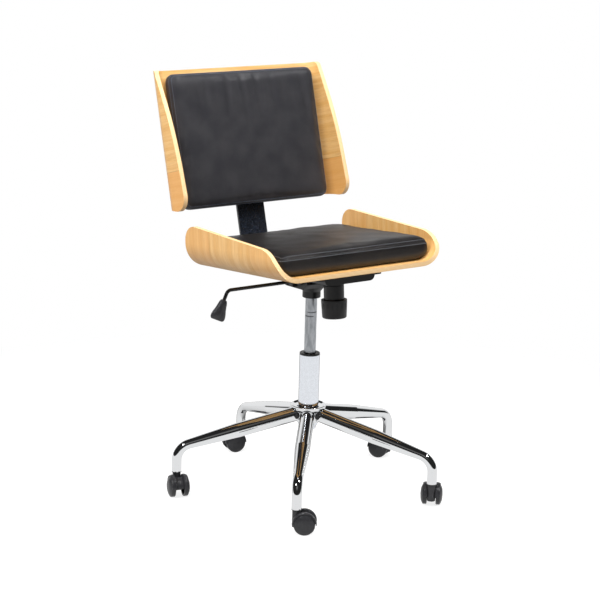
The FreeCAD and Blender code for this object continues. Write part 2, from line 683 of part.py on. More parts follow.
sleeve = turned("Sleeve", [
    ("tensionRadius + 0.5", "-armDrop"),
    ("tensionRadius + 0.5", "-armDrop - 2"),
    ("sleeveRadius - sleeveWall", "-armDrop - 2"),
    ("sleeveRadius - sleeveWall", "-armDrop - sleeveLength"),
    ("sleeveRadius", "-armDrop - sleeveLength"),
    ("sleeveRadius", "-armDrop", "1.5"),
])
BOLT_FRAME = SEAT.multiply(FreeCAD.Placement(V(0, num("boltBack"), 0), FreeCAD.Rotation()))
keep(sleeve, "spring_sleeve", BOLT_FRAME)

# Tension bolt with its ball head in the pan, and the knob that is screwed on it

KNOB_FOOT = "-knobTop - knobHeight"
keep(turned("TensionBolt", [
    ("0", KNOB_FOOT + " + 6"),
    ("tensionRadius", KNOB_FOOT + " + 6"),
    ("tensionRadius", "-panDeep + sheet + 3"),
    ("tensionHead", "-panDeep + sheet + 6", "2"),
    ("tensionHead", "-panDeep + sheet + 13", "4"),
    ("0", "-panDeep + sheet + 13"),
]), "tension_bolt", BOLT_FRAME)

knob = turned("Knob", [
    ("tensionRadius + runFit", KNOB_FOOT + " + 6"),
    ("tensionRadius + runFit", KNOB_FOOT + " + 16"),
    ("11", KNOB_FOOT + " + 16"),
    ("11", KNOB_FOOT + " + 5"),
    ("sleeveRadius + 1.5", KNOB_FOOT + " + 5"),
    ("sleeveRadius + 1.5", "-knobTop"),
    ("knobRadius", "-knobTop", "1"),
    ("knobRadius", "-knobTop - 6"),
    ("knobFootRadius", KNOB_FOOT, "4"),
    ("0", KNOB_FOOT),
    ("0", KNOB_FOOT + " + 6"),
])
rib = outline(knob, "XY_Plane", "KnobRib", [
    ("knobRadius - 0.9", "-1.2"),
    ("knobRadius + 2", "-1.2"),
    ("knobRadius + 2", "1.2"),
    ("knobRadius - 0.9", "1.2"),
], KNOB_FOOT + " + 9")
rib_pocket = pocket(knob, rib, "knobHeight - 17", reverse=True)
doc.recompute()
ribs = knob.newObject("PartDesign::PolarPattern", "KnobRibs")
ribs.Originals = [rib_pocket]
ribs.Axis = (rib, ["N_Axis"])
ribs.Angle = 360
ribs.Occurrences = 16
knob.Tip = ribs
keep(knob, "tension_knob", BOLT_FRAME)


def helix_wire(radius, pitch, turns, foot):
    """A helix made of quarter turns, each a three-point arc."""
    edges = []
    steps = int(turns * 4)
    for i in range(steps):
        points = []
        for part in (0, 0.5, 1):
            angle = math.pi / 2 * (i + part)
            points.append(V(radius * math.cos(angle), radius * math.sin(angle),
                            foot + pitch * (i + part) / 4))
        edges.append(Part.Arc(*points).toShape())
    return Part.Wire(edges)


def make_spring():
    wire = num("springWire") / 2
    turns = num("springTurns")
    mean = num("sleeveRadius - sleeveWall") - wire - 1
    top = num("-armDrop - 2") - wire - 0.2
    foot = num(KNOB_FOOT + " + 16") + wire + 0.2
    path = helix_wire(mean, (top - foot) / turns, turns, foot)
    circle = Part.Circle(V(mean, 0, foot), path.Edges[0].tangentAt(path.Edges[0].FirstParameter), wire)
    print("spring gap between turns", round((top - foot) / turns - 2 * wire, 2))
    return path.makePipeShell([Part.Wire([circle.toShape()])], True, False)


spring = doc.addObject("Part::Feature", "Spring")
spring.Shape = make_spring()
keep(spring, "tension_spring", BOLT_FRAME)

# Lever: a pivoting bush in the housing's wall, the bent rod and its grip

bush_barrel = cylinder("LeverBarrel", "leverBushRadius", "2 * leverBushRadius - 1",
                       ("-leverPivot", "leverBushRadius - 0.5", "leverHeight"), (X_AXIS, "90"))
bush_stub = cylinder("LeverStub", "3", "2 * (leverBushRadius + 4)",
                     ("-leverPivot", "leverBushRadius + 4", "leverHeight"), (X_AXIS, "90"))
bush_bore = cylinder("LeverBore", "leverRadius + runFit", "60",
                     ("-leverPivot - 30", "0", "leverHeight"), (Y_AXIS, "90"))
keep(cut("LeverBush", fuse("LeverBushBody", bush_barrel, bush_stub), bush_bore), "lever_bush")


def rod_through(name, radius, points, bends):
    """A round rod along straight runs joined by tangent arcs."""
    edges = []
    last = points[0]
    for i in range(1, len(points) - 1):
        here = points[i]
        before = (points[i - 1] - here).normalize()
        after = (points[i + 1] - here).normalize()
        half = before.getAngle(after) / 2
        reach = bends[i - 1] / math.tan(half)
        start = here + before * reach
        stop = here + after * reach
        centre = here + (before + after).normalize() * (bends[i - 1] / math.sin(half))
        middle = centre + (here - centre).normalize() * bends[i - 1]
        edges.append(Part.LineSegment(last, start).toShape())
        edges.append(Part.Arc(start, middle, stop).toShape())
        last = stop
    edges.append(Part.LineSegment(last, points[-1]).toShape())
    path = Part.Wire(edges)
    circle = Part.Circle(points[0], points[1] - points[0], radius)
    thing = doc.addObject("Part::Feature", name)
    thing.Shape = path.makePipeShell([Part.Wire([circle.toShape()])], True, False)
    return thing


LEVER_END = V(-num("leverReach + leverEndReach"), 0, num("leverHeight - leverEndDrop"))
keep(rod_through("LeverRod", num("leverRadius"), [
    V(num("leverInner"), 0, num("leverHeight")),
    V(-num("leverReach"), 0, num("leverHeight")),
    LEVER_END,
], [num("leverBend")]), "lever_rod")

# The grip is a paddle: narrow at the rod, wide and rounded at its foot.
# Each row: distance down the grip, half width and half thickness, as shares of the grip's own.
GRIP_ROWS = [(0, 0.31, 0.65), (0.06, 0.42, 0.75), (0.32, 0.62, 0.9), (0.64, 0.9, 1), (0.8, 1, 1),
             (0.92, 0.97, 0.85), (1, 0.68, 0.4)]


def make_grip():
    down = (LEVER_END - V(-num("leverReach"), 0, num("leverHeight"))).normalize()
    top = LEVER_END - down * num("gripRise")
    side = V(down.z, 0, -down.x)
    wires = []
    for along, half_share, thick_share in GRIP_ROWS:
        centre = top + down * (along * num("gripLength"))
        half = half_share * num("gripHalf")
        thick = thick_share * num("gripThick")
        ends = []
        for angle in range(0, 360, 45):
            turn = math.radians(angle)
            ends.append(centre + side * half * math.cos(turn) + Y_AXIS * thick * math.sin(turn))
        arcs = []
        for i in range(0, 8, 2):
            arcs.append(Part.Arc(ends[i], ends[i + 1], ends[(i + 2) % 8]).toShape())
        wires.append(Part.Wire(arcs))
    return Part.makeLoft(wires, True, False)


grip = doc.addObject("Part::Feature", "Grip")
grip.Shape = make_grip().cut(NODES[-1].Shape)
keep(grip, "lever_grip")

# Seat plate: pressed tray with turned lips, a pan over the spring and two pivot ears

plate = new_body("Plate")
pad(plate, outline(plate, "XY_Plane", "PlateTop", [
    ("-plateHalf", "-plateFront", "14"),
    ("plateHalf", "-plateFront", "14"),
    ("plateHalf", "plateRear", "6"),
    ("-plateHalf", "plateRear", "6"),
]), "plateLip", reverse=True)
pocket(plate, outline(plate, "XY_Plane", "PlateUnder", [
    ("-plateHalf + sheet", "-plateFront + sheet", "11"),
    ("plateHalf - sheet", "-plateFront + sheet", "11"),
    ("plateHalf - sheet", "plateRear + 5"),
    ("-plateHalf + sheet", "plateRear + 5"),
], "-plateLip"), "plateLip - sheet", reverse=True)
pad(plate, outline(plate, "XZ_Plane", "PanBlock", [
    ("-panHalf", "-1"),
    ("-panHalf", "-panDeep", "14"),
    ("panHalf", "-panDeep", "14"),
    ("panHalf", "-1"),
], "panRear"), "panFront - panRear")
pocket(plate, outline(plate, "XZ_Plane", "PanInside", [
    ("-panHalf + sheet", "1"),
    ("-panHalf + sheet", "-panDeep + sheet", "11"),
    ("panHalf - sheet", "-panDeep + sheet", "11"),
    ("panHalf - sheet", "1"),
], "panRear + sheet"), "panFront - panRear - 2 * sheet", reverse=True)
plate_ears = []
for side in (-1, 1):
    ear_at = "earHalf" if side > 0 else "-earHalf - sheet"
    blade = box("PlateEarBlade%d" % (side + 2), "sheet", "26", "pivotDrop - sheet + 1",
                (ear_at, "pivotBack - 13", "-pivotDrop"))
    nose = cylinder("PlateEarNose%d" % (side + 2), "13", "sheet", (ear_at, "pivotBack", "-pivotDrop"), (Y_AXIS, "90"))
    plate_ears += [blade, nose]

PLATE_BOLTS = [("-plateBoltWide", "-plateBoltFront"), ("plateBoltWide", "-plateBoltFront"),
               ("-plateBoltNarrow", "plateBoltRear"), ("plateBoltNarrow", "plateBoltRear")]
BAR_BOLTS = [("-barBoltHalf", "barBoltFront"), ("barBoltHalf", "barBoltFront"),
             ("-barBoltHalf", "barBoltRear"), ("barBoltHalf", "barBoltRear")]


def seat_holes(name, spots, radius, foot, height):
    return [cylinder("%s%d" % (name, i + 1), radius, height, (x, y, foot))
            for i, (x, y) in enumerate(spots)]


plate_bore = cylinder("PlatePinBore", "pivotRadius + runFit", "300", ("-150", "pivotBack", "-pivotDrop"), (Y_AXIS, "90"))
pan_hole = cylinder("PanHole", "tensionRadius + 3", "20", ("0", "boltBack", "-panDeep - 8"))
plate_holes = seat_holes("PlateHole", PLATE_BOLTS, "screwRadius + 0.2", "-sheet - 1", "sheet + 2")
seat_plate = cut("SeatPlate", fuse("PlateAndEars", plate, *plate_ears), plate_bore, pan_hole, *plate_holes)
keep(seat_plate, "seat_plate", SEAT)

# Back bar: flat steel, bolted under the seat and bent up behind it

FOLD = "(backLean - seatTilt)"
BAR_FOOT = "(barReach - barFront)"
bar = new_body("Bar")
bar_pad = pad(bar, outline(bar, "YZ_Plane", "BarSide", [
    ("0", "0", "barBend"),
    ("0", "barTop"),
    ("barThick", "barTop"),
    ("barThick", "-barThick * (1 - sin%s) / cos%s" % (FOLD, FOLD), "barBend + barThick"),
    ("-%s * cos%s + barThick * sin%s" % (BAR_FOOT, FOLD, FOLD),
     "-%s * sin%s - barThick * cos%s" % (BAR_FOOT, FOLD, FOLD)),
    ("-%s * cos%s" % (BAR_FOOT, FOLD), "-%s * sin%s" % (BAR_FOOT, FOLD)),
]), "2 * barHalf", symmetric=True)


def bar_corner(edge):
    """The four short edges across the ends of the bar."""
    box_of = edge.BoundBox
    high = box_of.ZMin > num("barTop") - 1 and box_of.YLength > num("barThick") - 0.5
    return high and box_of.XLength < 0.01


bar.Tip = round_edges(bar, "BarCorners", bar_pad, "14", bar_corner)
BACK_BOLTS = [("-backBoltHalf", "backBoltLow"), ("backBoltHalf", "backBoltLow"),
              ("-backBoltHalf", "backBoltHigh"), ("backBoltHalf", "backBoltHigh")]
bar_seat_holes = group("BarSeatHoles", *seat_holes("BarSeatHole", BAR_BOLTS, "screwRadius + 0.2", "-barThick - 1", "barThick + 2"))
bar_seat_holes.Placement = BACK.inverse().multiply(SEAT)


def back_holes(name, radius, start, length):
    """Cylinders through the back, from start towards the sitter."""
    return [cylinder("%s%d" % (name, i + 1), radius, length, (x, start, z), (X_AXIS, "90"))
            for i, (x, z) in enumerate(BACK_BOLTS)]


keep(cut("BackBar", bar, bar_seat_holes, *back_holes("BarBackHole", "screwRadius + 0.2", "barThick + 1", "barThick + 2")),
     "back_bar", BACK)

# Bent-ply shells: a U section run along the panel, trimmed to the side outline

WING_AT = "(wingTop - seatHeight + (%s) * sin(seatTilt)) / cos(seatTilt)"
seat_shell = new_body("SeatShell")
pad(seat_shell, outline(seat_shell, "XZ_Plane", "SeatSection", [
    ("-seatHalf", "0", "seatBend"),
    ("seatHalf", "0", "seatBend"),
    ("seatHalf", "wingTop - seatHeight + 40"),
    ("seatHalf - plyThick", "wingTop - seatHeight + 40"),
    ("seatHalf - plyThick", "plyThick", "seatBend - plyThick"),
    ("-seatHalf + plyThick", "plyThick", "seatBend - plyThick"),
    ("-seatHalf + plyThick", "wingTop - seatHeight + 40"),
    ("-seatHalf", "wingTop - seatHeight + 40"),
]), "2 * (seatFront + seatRear)", symmetric=True)
SEAT_SIDE = [
    ("-seatFront + 5 * tan(seatTilt)", "-5"),
    ("-seatFront - (wingTop - seatHeight) * tan(seatTilt)",
     WING_AT % "-seatFront - (wingTop - seatHeight) * tan(seatTilt)", "wingFrontBend"),
    ("seatRear", WING_AT % "seatRear", "wingRearBend"),
    ("seatRear", "-5"),
]
seat_side = doc.addObject("PartDesign::Body", "SeatSide")
pad(seat_side, outline(seat_side, "YZ_Plane", "SeatSideOutline", SEAT_SIDE), "2 * seatHalf + 20", symmetric=True)
seat_form = doc.addObject("Part::Common", "SeatForm")
seat_form.Base = seat_shell
seat_form.Tool = seat_side
seat_bolt_holes = seat_holes("ShellHole", PLATE_BOLTS + BAR_BOLTS, "screwRadius + 0.2", "-1", "plyThick + 2")
keep(cut("SeatShellDrilled", seat_form, *seat_bolt_holes), "seat_shell", SEAT)

back_shell = new_body("BackShell")
pad(back_shell, outline(back_shell, "XY_Plane", "BackSection", [
    ("-backHalf", "0", "backBend"),
    ("-backHalf", "-backWingFoot - 20"),
    ("-backHalf + plyThick", "-backWingFoot - 20"),
    ("-backHalf + plyThick", "-plyThick", "backBend - plyThick"),
    ("backHalf - plyThick", "-plyThick", "backBend - plyThick"),
    ("backHalf - plyThick", "-backWingFoot - 20"),
    ("backHalf", "-backWingFoot - 20"),
    ("backHalf", "0", "backBend"),
]), "backTop + 50")
back_side = new_body("BackSide")
pad(back_side, outline(back_side, "YZ_Plane", "BackSideOutline", [
    ("5", "backTop"),
    ("-backWingTop", "backTop", "11"),
    ("-backWingMid", "(backTop + backFoot) / 2", "900"),
    ("-backWingFoot", "backFoot - backWingDrop", "34"),
    ("5", "backFoot"),
]), "2 * backHalf + 20", symmetric=True)
back_form = doc.addObject("Part::Common", "BackForm")
back_form.Base = back_shell
back_form.Tool = back_side
keep(cut("BackShellDrilled", back_form, *back_holes("BackShellHole", "screwRadius + 0.2", "1", "plyThick + 2")),
     "back_shell", BACK)

# Cushions: a boxed side up to the seam, then a crown; each holds a ply board


def rounded_rectangle(half, front, rear, radius, level):
    """A wire of four lines and four quarter arcs at one level."""
    centres = [(half - radius, rear - radius, 0), (-half + radius, rear - radius, 90),
               (-half + radius, -front + radius, 180), (half - radius, -front + radius, 270)]
    arcs = []
    for x, y, start in centres:
        points = [V(x + radius * math.cos(math.radians(a)), y + radius * math.sin(math.radians(a)), level)
                  for a in (start, start + 45, start + 90)]
        arcs.append(Part.Arc(*points))
    edges = []
    for i, arc in enumerate(arcs):
        edges.append(arc.toShape())
        edges.append(Part.LineSegment(arc.EndPoint, arcs[(i + 1) % 4].StartPoint).toShape())
    return Part.Wire(edges)


def draw_in(level, half, shell_half, bend):
    """How far a pad's side stands in at a level, to lie inside the shell's bend."""
    inner = bend - num("plyThick")
    fit = inner - num("padGap")
    drop = inner - level - num("padGap")
    if drop <= 0:
        return 0
    return max(half - (shell_half - bend + math.sqrt(max(fit * fit - drop * drop, 0))), 0)


def cushion(half, front, rear, seam, crown, corner, shell_half, bend):
    """Stacked sections: lying in the shell's bend, upright to the seam, then over into the crown."""
    lower = [(0, 9), (seam * 0.08, 4), (seam * 0.22, 1.5), (seam * 0.45, 0), (seam * 0.75, 0.5), (seam, 2)]
    upper = [(0.4, 5), (0.75, 13), (0.92, 28), (1, 70)]
    stack = [(level, max(draw_in(level, half, shell_half, bend), inset), inset) for level, inset in lower]
    stack += [(seam + crown * share, inset, inset) for share, inset in upper]
    wires = []
    for level, side, end in stack:
        radius = max(corner - end * 0.1, 6)
        wires.append(rounded_rectangle(half - side, front - end, rear - end, radius, level))
    return Part.makeLoft(wires, True, True)


def board_shape(half, front, rear, slack):
    inset = num("boardInset") - slack
    face = Part.Face(rounded_rectangle(half + slack, front - inset, rear - inset, 20, 0))
    return face.extrude(V(0, 0, num("boardThick") + slack))


def pad_pieces(prefix, soft, board_half, front, rear, frame, bolt_spots):
    """The cushion with its recess, and the board in it, both drilled for the bolts."""
    soft = soft.cut(board_shape(board_half, front, rear, 0.2))
    board = board_shape(board_half, front, rear, 0)
    reach = num("screwGrip - plyThick - sheet - padGap")
    for x, y in bolt_spots:
        board = board.cut(Part.makeCylinder(num("screwRadius") + 0.1, reach + 0.5, V(x, y, 0)))
        soft = soft.cut(Part.makeCylinder(num("screwRadius") + 0.1, reach + 1, V(x, y, 0)))
    soft_part = doc.addObject("Part::Feature", prefix + "Cushion")
    soft_part.Shape = soft
    keep(soft_part, prefix + "_cushion", frame)
    board_part = doc.addObject("Part::Feature", prefix + "Board")
    board_part.Shape = board
    keep(board_part, prefix + "_cushion_board", frame)


SEAT_PAD = SEAT.multiply(FreeCAD.Placement(V(0, 0, num("plyThick + padGap")), FreeCAD.Rotation()))
seat_soft = cushion(num("seatPadHalf"), num("seatPadFront"), num("seatPadRear"), num("seatPadSeam"),
                    num("seatPadCrown"), num("seatPadCorner"), num("seatHalf"), num("seatBend"))
pad_pieces("seat", seat_soft, num("seatBoardHalf"), num("seatPadFront"), num("seatPadRear"),
           SEAT_PAD, [(num(x), num(y)) for x, y in PLATE_BOLTS + BAR_BOLTS])

back_centre = num("(backPadTop + backPadFoot) / 2")
back_reach = num("(backPadTop - backPadFoot) / 2")
BACK_PAD = BACK.multiply(FreeCAD.Placement(V(0, -num("plyThick + padGap"), back_centre),
                                           FreeCAD.Rotation(X_AXIS, 90)))
back_soft = cushion(num("backPadHalf"), back_reach, back_reach, num("backPadSeam"),
                    num("backPadCrown"), num("backPadCorner"), num("backHalf"), num("backBend"))
pad_pieces("back", back_soft, num("backBoardHalf"), back_reach, back_reach,
           BACK_PAD, [(num(x), num(z) - back_centre) for x, z in BACK_BOLTS])


def seat_bolt(name, x, y, under):
    head = cylinder(name + "Head", "screwHead", "screwHeadHigh", (x, y, "-%s - screwHeadHigh" % under))
    shank = cylinder(name + "Shank", "screwRadius", "screwGrip", (x, y, "-%s" % under))
    return fuse(name, head, shank)


seat_bolts = [seat_bolt("PlateBolt%d" % i, x, y, "sheet") for i, (x, y) in enumerate(PLATE_BOLTS)]
seat_bolts += [seat_bolt("BarBolt%d" % i, x, y, "barThick") for i, (x, y) in enumerate(BAR_BOLTS)]
keep(group("SeatBolts", *seat_bolts), "seat_bolts", SEAT)

back_bolts = []
for i, (x, z) in enumerate(BACK_BOLTS):
    head = cylinder("BackBolt%dHead" % i, "screwHead", "screwHeadHigh", (x, "barThick + screwHeadHigh", z),
                    (X_AXIS, "90"))
    shank = cylinder("BackBolt%dShank" % i, "screwRadius", "screwGrip", (x, "barThick", z), (X_AXIS, "90"))
    back_bolts.append(fuse("BackBolt%d" % i, head, shank))
keep(group("BackBolts", *back_bolts), "back_bolts", BACK)

# Casters: hood, stem, axle and two wheels each, in a frame on the swivel axis, trailing along +X

HOOD_REACH = "wheelRadius + wheelGap"
HOOD_CROWN = HOOD_REACH + " + hoodWall"
HOOD_SIDE = "webWidth / 2 + treadWidth + 0.6"
WEB_HALF = "webWidth / 2 - 0.6"
ACROSS = (X_AXIS, "90")


def half_turned(name, corners):
    """A half ring over the axle from an outline of (radius, distance along the axle) corners."""
    body = new_body(name)
    sketch = outline(body, "XZ_Plane", name + "Profile", corners)
    feature = body.newObject("PartDesign::Revolution", name + "Turn")
    feature.Profile = sketch
    feature.ReferenceAxis = (sketch, ["V_Axis"])
    feature.Angle = 180
    shape = group(name + "Placed", body)
    shape.Placement = FreeCAD.Placement(V(num("casterTrail"), 0, num("wheelRadius")), FreeCAD.Rotation(X_AXIS, 90))
    return shape


def make_hood(name):
    """Two fenders with a groove between them, on a web that carries the axle and the stem."""
    fender = [
        (HOOD_REACH, WEB_HALF),
        (HOOD_REACH, HOOD_SIDE),
        (HOOD_REACH + " + 1.2", HOOD_SIDE),
        (HOOD_CROWN, HOOD_SIDE + " - 5", "5"),
        (HOOD_CROWN, "hoodValley + 3", "3"),
        ("hoodWaist", "hoodValley", "3"),
    ]
    other = [(corner[0], "-(%s)" % corner[1]) + corner[2:] for corner in fender]
    cover = half_turned(name + "Cover", [("0", WEB_HALF)] + fender + other[::-1] + [("0", "-(%s)" % WEB_HALF)])
    boss = cylinder(name + "Boss", "stemBoss", "legFoot - socketRim - 0.6 - stemBossFoot", ("0", "0", "stemBossFoot"))
    bridge = box(name + "Bridge", "casterTrail", "webWidth - 2.4", "wheelRadius - stemBossFoot + 1",
                 ("0", "1.2 - webWidth / 2", "stemBossFoot"))
    axle_boss = cylinder(name + "AxleBoss", "stemBoss", "2 * (%s)" % WEB_HALF,
                         ("casterTrail", WEB_HALF, "wheelRadius"), ACROSS)
    axle_bore = cylinder(name + "AxleBore", "axleRadius", "webWidth + 2",
                         ("casterTrail", "webWidth / 2 + 1", "wheelRadius"), ACROSS)
    stem_bore = cylinder(name + "StemBore", "stemRadius", "60", ("0", "0", "wheelRadius + 6"))
    return cut(name, fuse(name + "Solid", cover, boss, bridge, axle_boss), axle_bore, stem_bore)


def make_wheel(name, side):
    """Narrow tread, domed outer face, and a hollow inner side round the hub with its blind bore."""
    inner = "webWidth / 2"
    outer = "webWidth / 2 + wheelWidth"
    wheel = turned(name, [
        ("axleRadius + runFit", inner),
        ("axleRadius + 4", inner),
        ("axleRadius + 5", inner + " + treadWidth - 2.5", "1"),
        ("wheelRadius - 5", inner + " + treadWidth - 3.5", "1"),
        ("wheelRadius - 4", inner),
        ("wheelRadius", inner, "1"),
        ("wheelRadius", inner + " + treadWidth", "2.5"),
        ("wheelRadius * 0.62", outer + " - 1.2", "28"),
        ("0", outer),
        ("0", outer + " - 3"),
        ("axleRadius + runFit", outer + " - 3"),
    ])
    wheel.Placement = FreeCAD.Placement(V(num("casterTrail"), 0, num("wheelRadius")),
                                        FreeCAD.Rotation(X_AXIS, -90.0 * side))
    return wheel


for i, direction in enumerate(LEG_DIRECTIONS):
    number = i + 1
    turn = math.radians(direction)
    spot = V(num("legReach") * math.cos(turn), num("legReach") * math.sin(turn), 0)
    trail = num("casterTurn%d" % number) if number <= 5 else 0
    frame = FreeCAD.Placement(spot, FreeCAD.Rotation(Z_AXIS, trail))
    keep(make_hood("Hood%d" % number), "caster_hood_%d" % number, frame)
    keep(turned("Stem%d" % number, [
        ("0", "wheelRadius + 6"),
        ("stemRadius", "wheelRadius + 6"),
        ("stemRadius", "stemTop - 5"),
        ("stemRadius - 0.8", "stemTop - 4"),
        ("stemRadius - 0.8", "stemTop - 2"),
        ("stemRadius - 1.5", "stemTop"),
        ("0", "stemTop"),
    ]), "caster_stem_%d" % number, frame)
    axle = cylinder("AxlePin%d" % number, "axleRadius", "2 * (webWidth / 2 + wheelWidth - 4)",
                    ("casterTrail", "webWidth / 2 + wheelWidth - 4", "wheelRadius"), ACROSS)
    keep(group("Axle%d" % number, axle), "caster_axle_%d" % number, frame)
    for side, letter in ((1, "a"), (-1, "b")):
        wheel = make_wheel("Wheel%d%s" % (number, letter), side)
        keep(wheel, "caster_wheel_%d%s" % (number, letter), frame.multiply(wheel.Placement))

doc.recompute()

for thing in doc.Objects:
    if "Invalid" in thing.State or "Error" in thing.State:
        raise ValueError("%s is not sound: %s" % (thing.Name, thing.State))
for node in NODES:
    if node.Shape.isNull() or not node.Shape.isValid():
        raise ValueError("%s has no sound shape" % node.Label)

os.makedirs("parts", exist_ok=True)
for node in NODES:
    node.Shape.exportStep("parts/%s.step" % node.Label)
print(len(NODES), "sub-parts written")
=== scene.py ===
import math

import bpy
import numpy as np
from mathutils import Matrix, Vector
from mathutils.bvhtree import BVHTree
from mathutils.noise import noise


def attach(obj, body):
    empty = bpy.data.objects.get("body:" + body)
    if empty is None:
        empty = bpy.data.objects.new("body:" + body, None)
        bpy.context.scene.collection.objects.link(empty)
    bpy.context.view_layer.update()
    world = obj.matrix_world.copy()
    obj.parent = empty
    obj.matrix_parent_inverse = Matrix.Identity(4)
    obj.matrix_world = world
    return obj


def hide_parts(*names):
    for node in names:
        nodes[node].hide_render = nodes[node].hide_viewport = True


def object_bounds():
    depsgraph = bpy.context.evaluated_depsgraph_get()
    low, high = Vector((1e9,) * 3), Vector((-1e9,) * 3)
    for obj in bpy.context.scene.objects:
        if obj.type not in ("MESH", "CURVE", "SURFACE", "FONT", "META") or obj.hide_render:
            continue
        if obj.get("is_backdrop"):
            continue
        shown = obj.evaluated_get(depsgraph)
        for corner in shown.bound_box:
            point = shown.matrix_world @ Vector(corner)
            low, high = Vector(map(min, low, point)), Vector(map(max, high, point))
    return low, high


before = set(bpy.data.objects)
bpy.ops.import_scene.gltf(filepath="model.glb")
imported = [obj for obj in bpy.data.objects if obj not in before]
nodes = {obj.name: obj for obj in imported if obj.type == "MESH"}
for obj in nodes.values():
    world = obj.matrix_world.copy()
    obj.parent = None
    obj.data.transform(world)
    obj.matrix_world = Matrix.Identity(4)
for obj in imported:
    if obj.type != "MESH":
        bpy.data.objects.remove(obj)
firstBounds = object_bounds()
scene = bpy.context.scene
mm = 0.001
print("frame loaded")

# Frames of the chair: the seat's origin is under its shell on the column's axis, y along the pan;
# the back's origin is the inner corner of the back bar, z up the back. Sizes in millimetres.
chair = {"seatHeight": 559.7, "seatTilt": 5.0, "backReach": 234.5, "backLean": 15.7}


def leaning(origin, degrees):
    return Matrix.Translation(origin) @ Matrix.Rotation(math.radians(-degrees), 4, "X")


upright = Matrix.Identity(4)
seatMatrix = leaning(Vector((0, 0, chair["seatHeight"] * mm)), chair["seatTilt"])
backMatrix = leaning(seatMatrix @ Vector((0, chair["backReach"] * mm, 0)), chair["backLean"])
facePad = backMatrix @ Matrix.Rotation(math.radians(90), 4, "X")  # z out of the back cushion's face


# Shader maths

class Value:  # a socket that takes part in ordinary arithmetic
    def __init__(self, graph, socket):
        self.graph = graph
        self.socket = socket

    def math(self, operation, *others):
        return self.graph.math(operation, self, *others)

    def __add__(self, other):
        return self.math("ADD", other)

    def __sub__(self, other):
        return self.math("SUBTRACT", other)

    def __mul__(self, other):
        return self.math("MULTIPLY", other)

    def __truediv__(self, other):
        return self.math("DIVIDE", other)

    def __radd__(self, other):
        return self.math("ADD", other)

    def __rmul__(self, other):
        return self.math("MULTIPLY", other)

    def __rsub__(self, other):
        return self.graph.math("SUBTRACT", other, self)

    def above(self, edge):
        return self.math("GREATER_THAN", edge)

    def size(self):
        return self.math("ABSOLUTE")

    def floor(self):
        return self.math("FLOOR")

    def ramp(self, low, high, toLow=0.0, toHigh=1.0):  # a smooth step between two limits
        return self.graph.value("ShaderNodeMapRange", {0: self, 1: low, 2: high, 3: toLow, 4: toHigh}, 0,
                                interpolation_type="SMOOTHSTEP")

    def near(self, place, reach):  # 1 at a place, falling to 0 at a distance from it
        return 1 - (self - place).size().ramp(0, reach)


class Graph:  # the nodes of one material, world or geometry tree
    def __init__(self, tree, owner=None):
        self.owner = owner
        self.tree = tree
        self.tree.nodes.clear()
        self.place = None

    def make(self, kind, inputs, **settings):
        node = self.tree.nodes.new(kind)
        for key, setting in settings.items():
            setattr(node, key, setting)
        for key, value in inputs.items():
            if isinstance(value, Value):
                self.tree.links.new(value.socket, node.inputs[key])
            else:
                node.inputs[key].default_value = value
        return node

    def output(self, node, label):
        return Value(self, node.outputs[label])

    def value(self, kind, inputs, label, **settings):
        return self.output(self.make(kind, inputs, **settings), label)

    def math(self, operation, *terms):
        return self.value("ShaderNodeMath", dict(enumerate(terms)), 0, operation=operation)

    def coordinates(self, matrix):  # object coordinates in millimetres, along a frame of the chair
        if self.place is None:
            self.place = self.value("ShaderNodeTexCoord", {}, "Object")
        inverse = matrix.inverted()
        axes = []
        for row in range(3):
            axis = [inverse[row][i] / mm for i in range(3)]
            dot = self.value("ShaderNodeVectorMath", {0: self.place, 1: axis}, "Value",
                             operation="DOT_PRODUCT")
            axes.append(dot + inverse[row][3] / mm)
        return axes

    def vector(self, x, y, z):
        return self.value("ShaderNodeCombineXYZ", {0: x, 1: y, 2: z}, 0)

    def noise(self, vector, scale=1.0, detail=3.0, roughness=0.5):
        return self.value("ShaderNodeTexNoise", {"Vector": vector, "Scale": scale, "Detail": detail,
                                                 "Roughness": roughness}, 0)

    def cracks(self, vector, scale):
        return self.value("ShaderNodeTexVoronoi", {"Vector": vector, "Scale": scale}, "Distance",
                          feature="DISTANCE_TO_EDGE")

    def mix(self, share, first, second):
        first, second = (c if isinstance(c, Value) else (*c, 1) for c in (first, second))
        return self.value("ShaderNodeMix", {"Factor": share, 6: first, 7: second}, 2, data_type="RGBA")

    def bump(self, height, distance, strength=1.0):
        return self.value("ShaderNodeBump", {"Height": height, "Distance": distance * mm,
                                             "Strength": strength}, 0)

    def finish(self, shader, kind="ShaderNodeOutputMaterial"):
        self.make(kind, {0: shader})
        return self.owner

    def surface(self, **inputs):
        named = {key.replace("_", " "): value for key, value in inputs.items()}
        return self.value("ShaderNodeBsdfPrincipled", named, 0)


def shading(owner):
    owner.use_nodes = True
    return Graph(owner.node_tree, owner)


def material(name):
    return shading(bpy.data.materials.new(name))


def screen(*colour):  # a screen colour as the linear one that shaders use
    return tuple(((c / 255 + 0.055) / 1.055) ** 2.4 if c > 10 else c / 3294.6 for c in colour)


# Finishes of the rigid pieces

wearAndSheen = {"drift": 0.035, "patch": 0.16, "fine": 1.6, "coatRough": 0.15}  # noise scales per millimetre


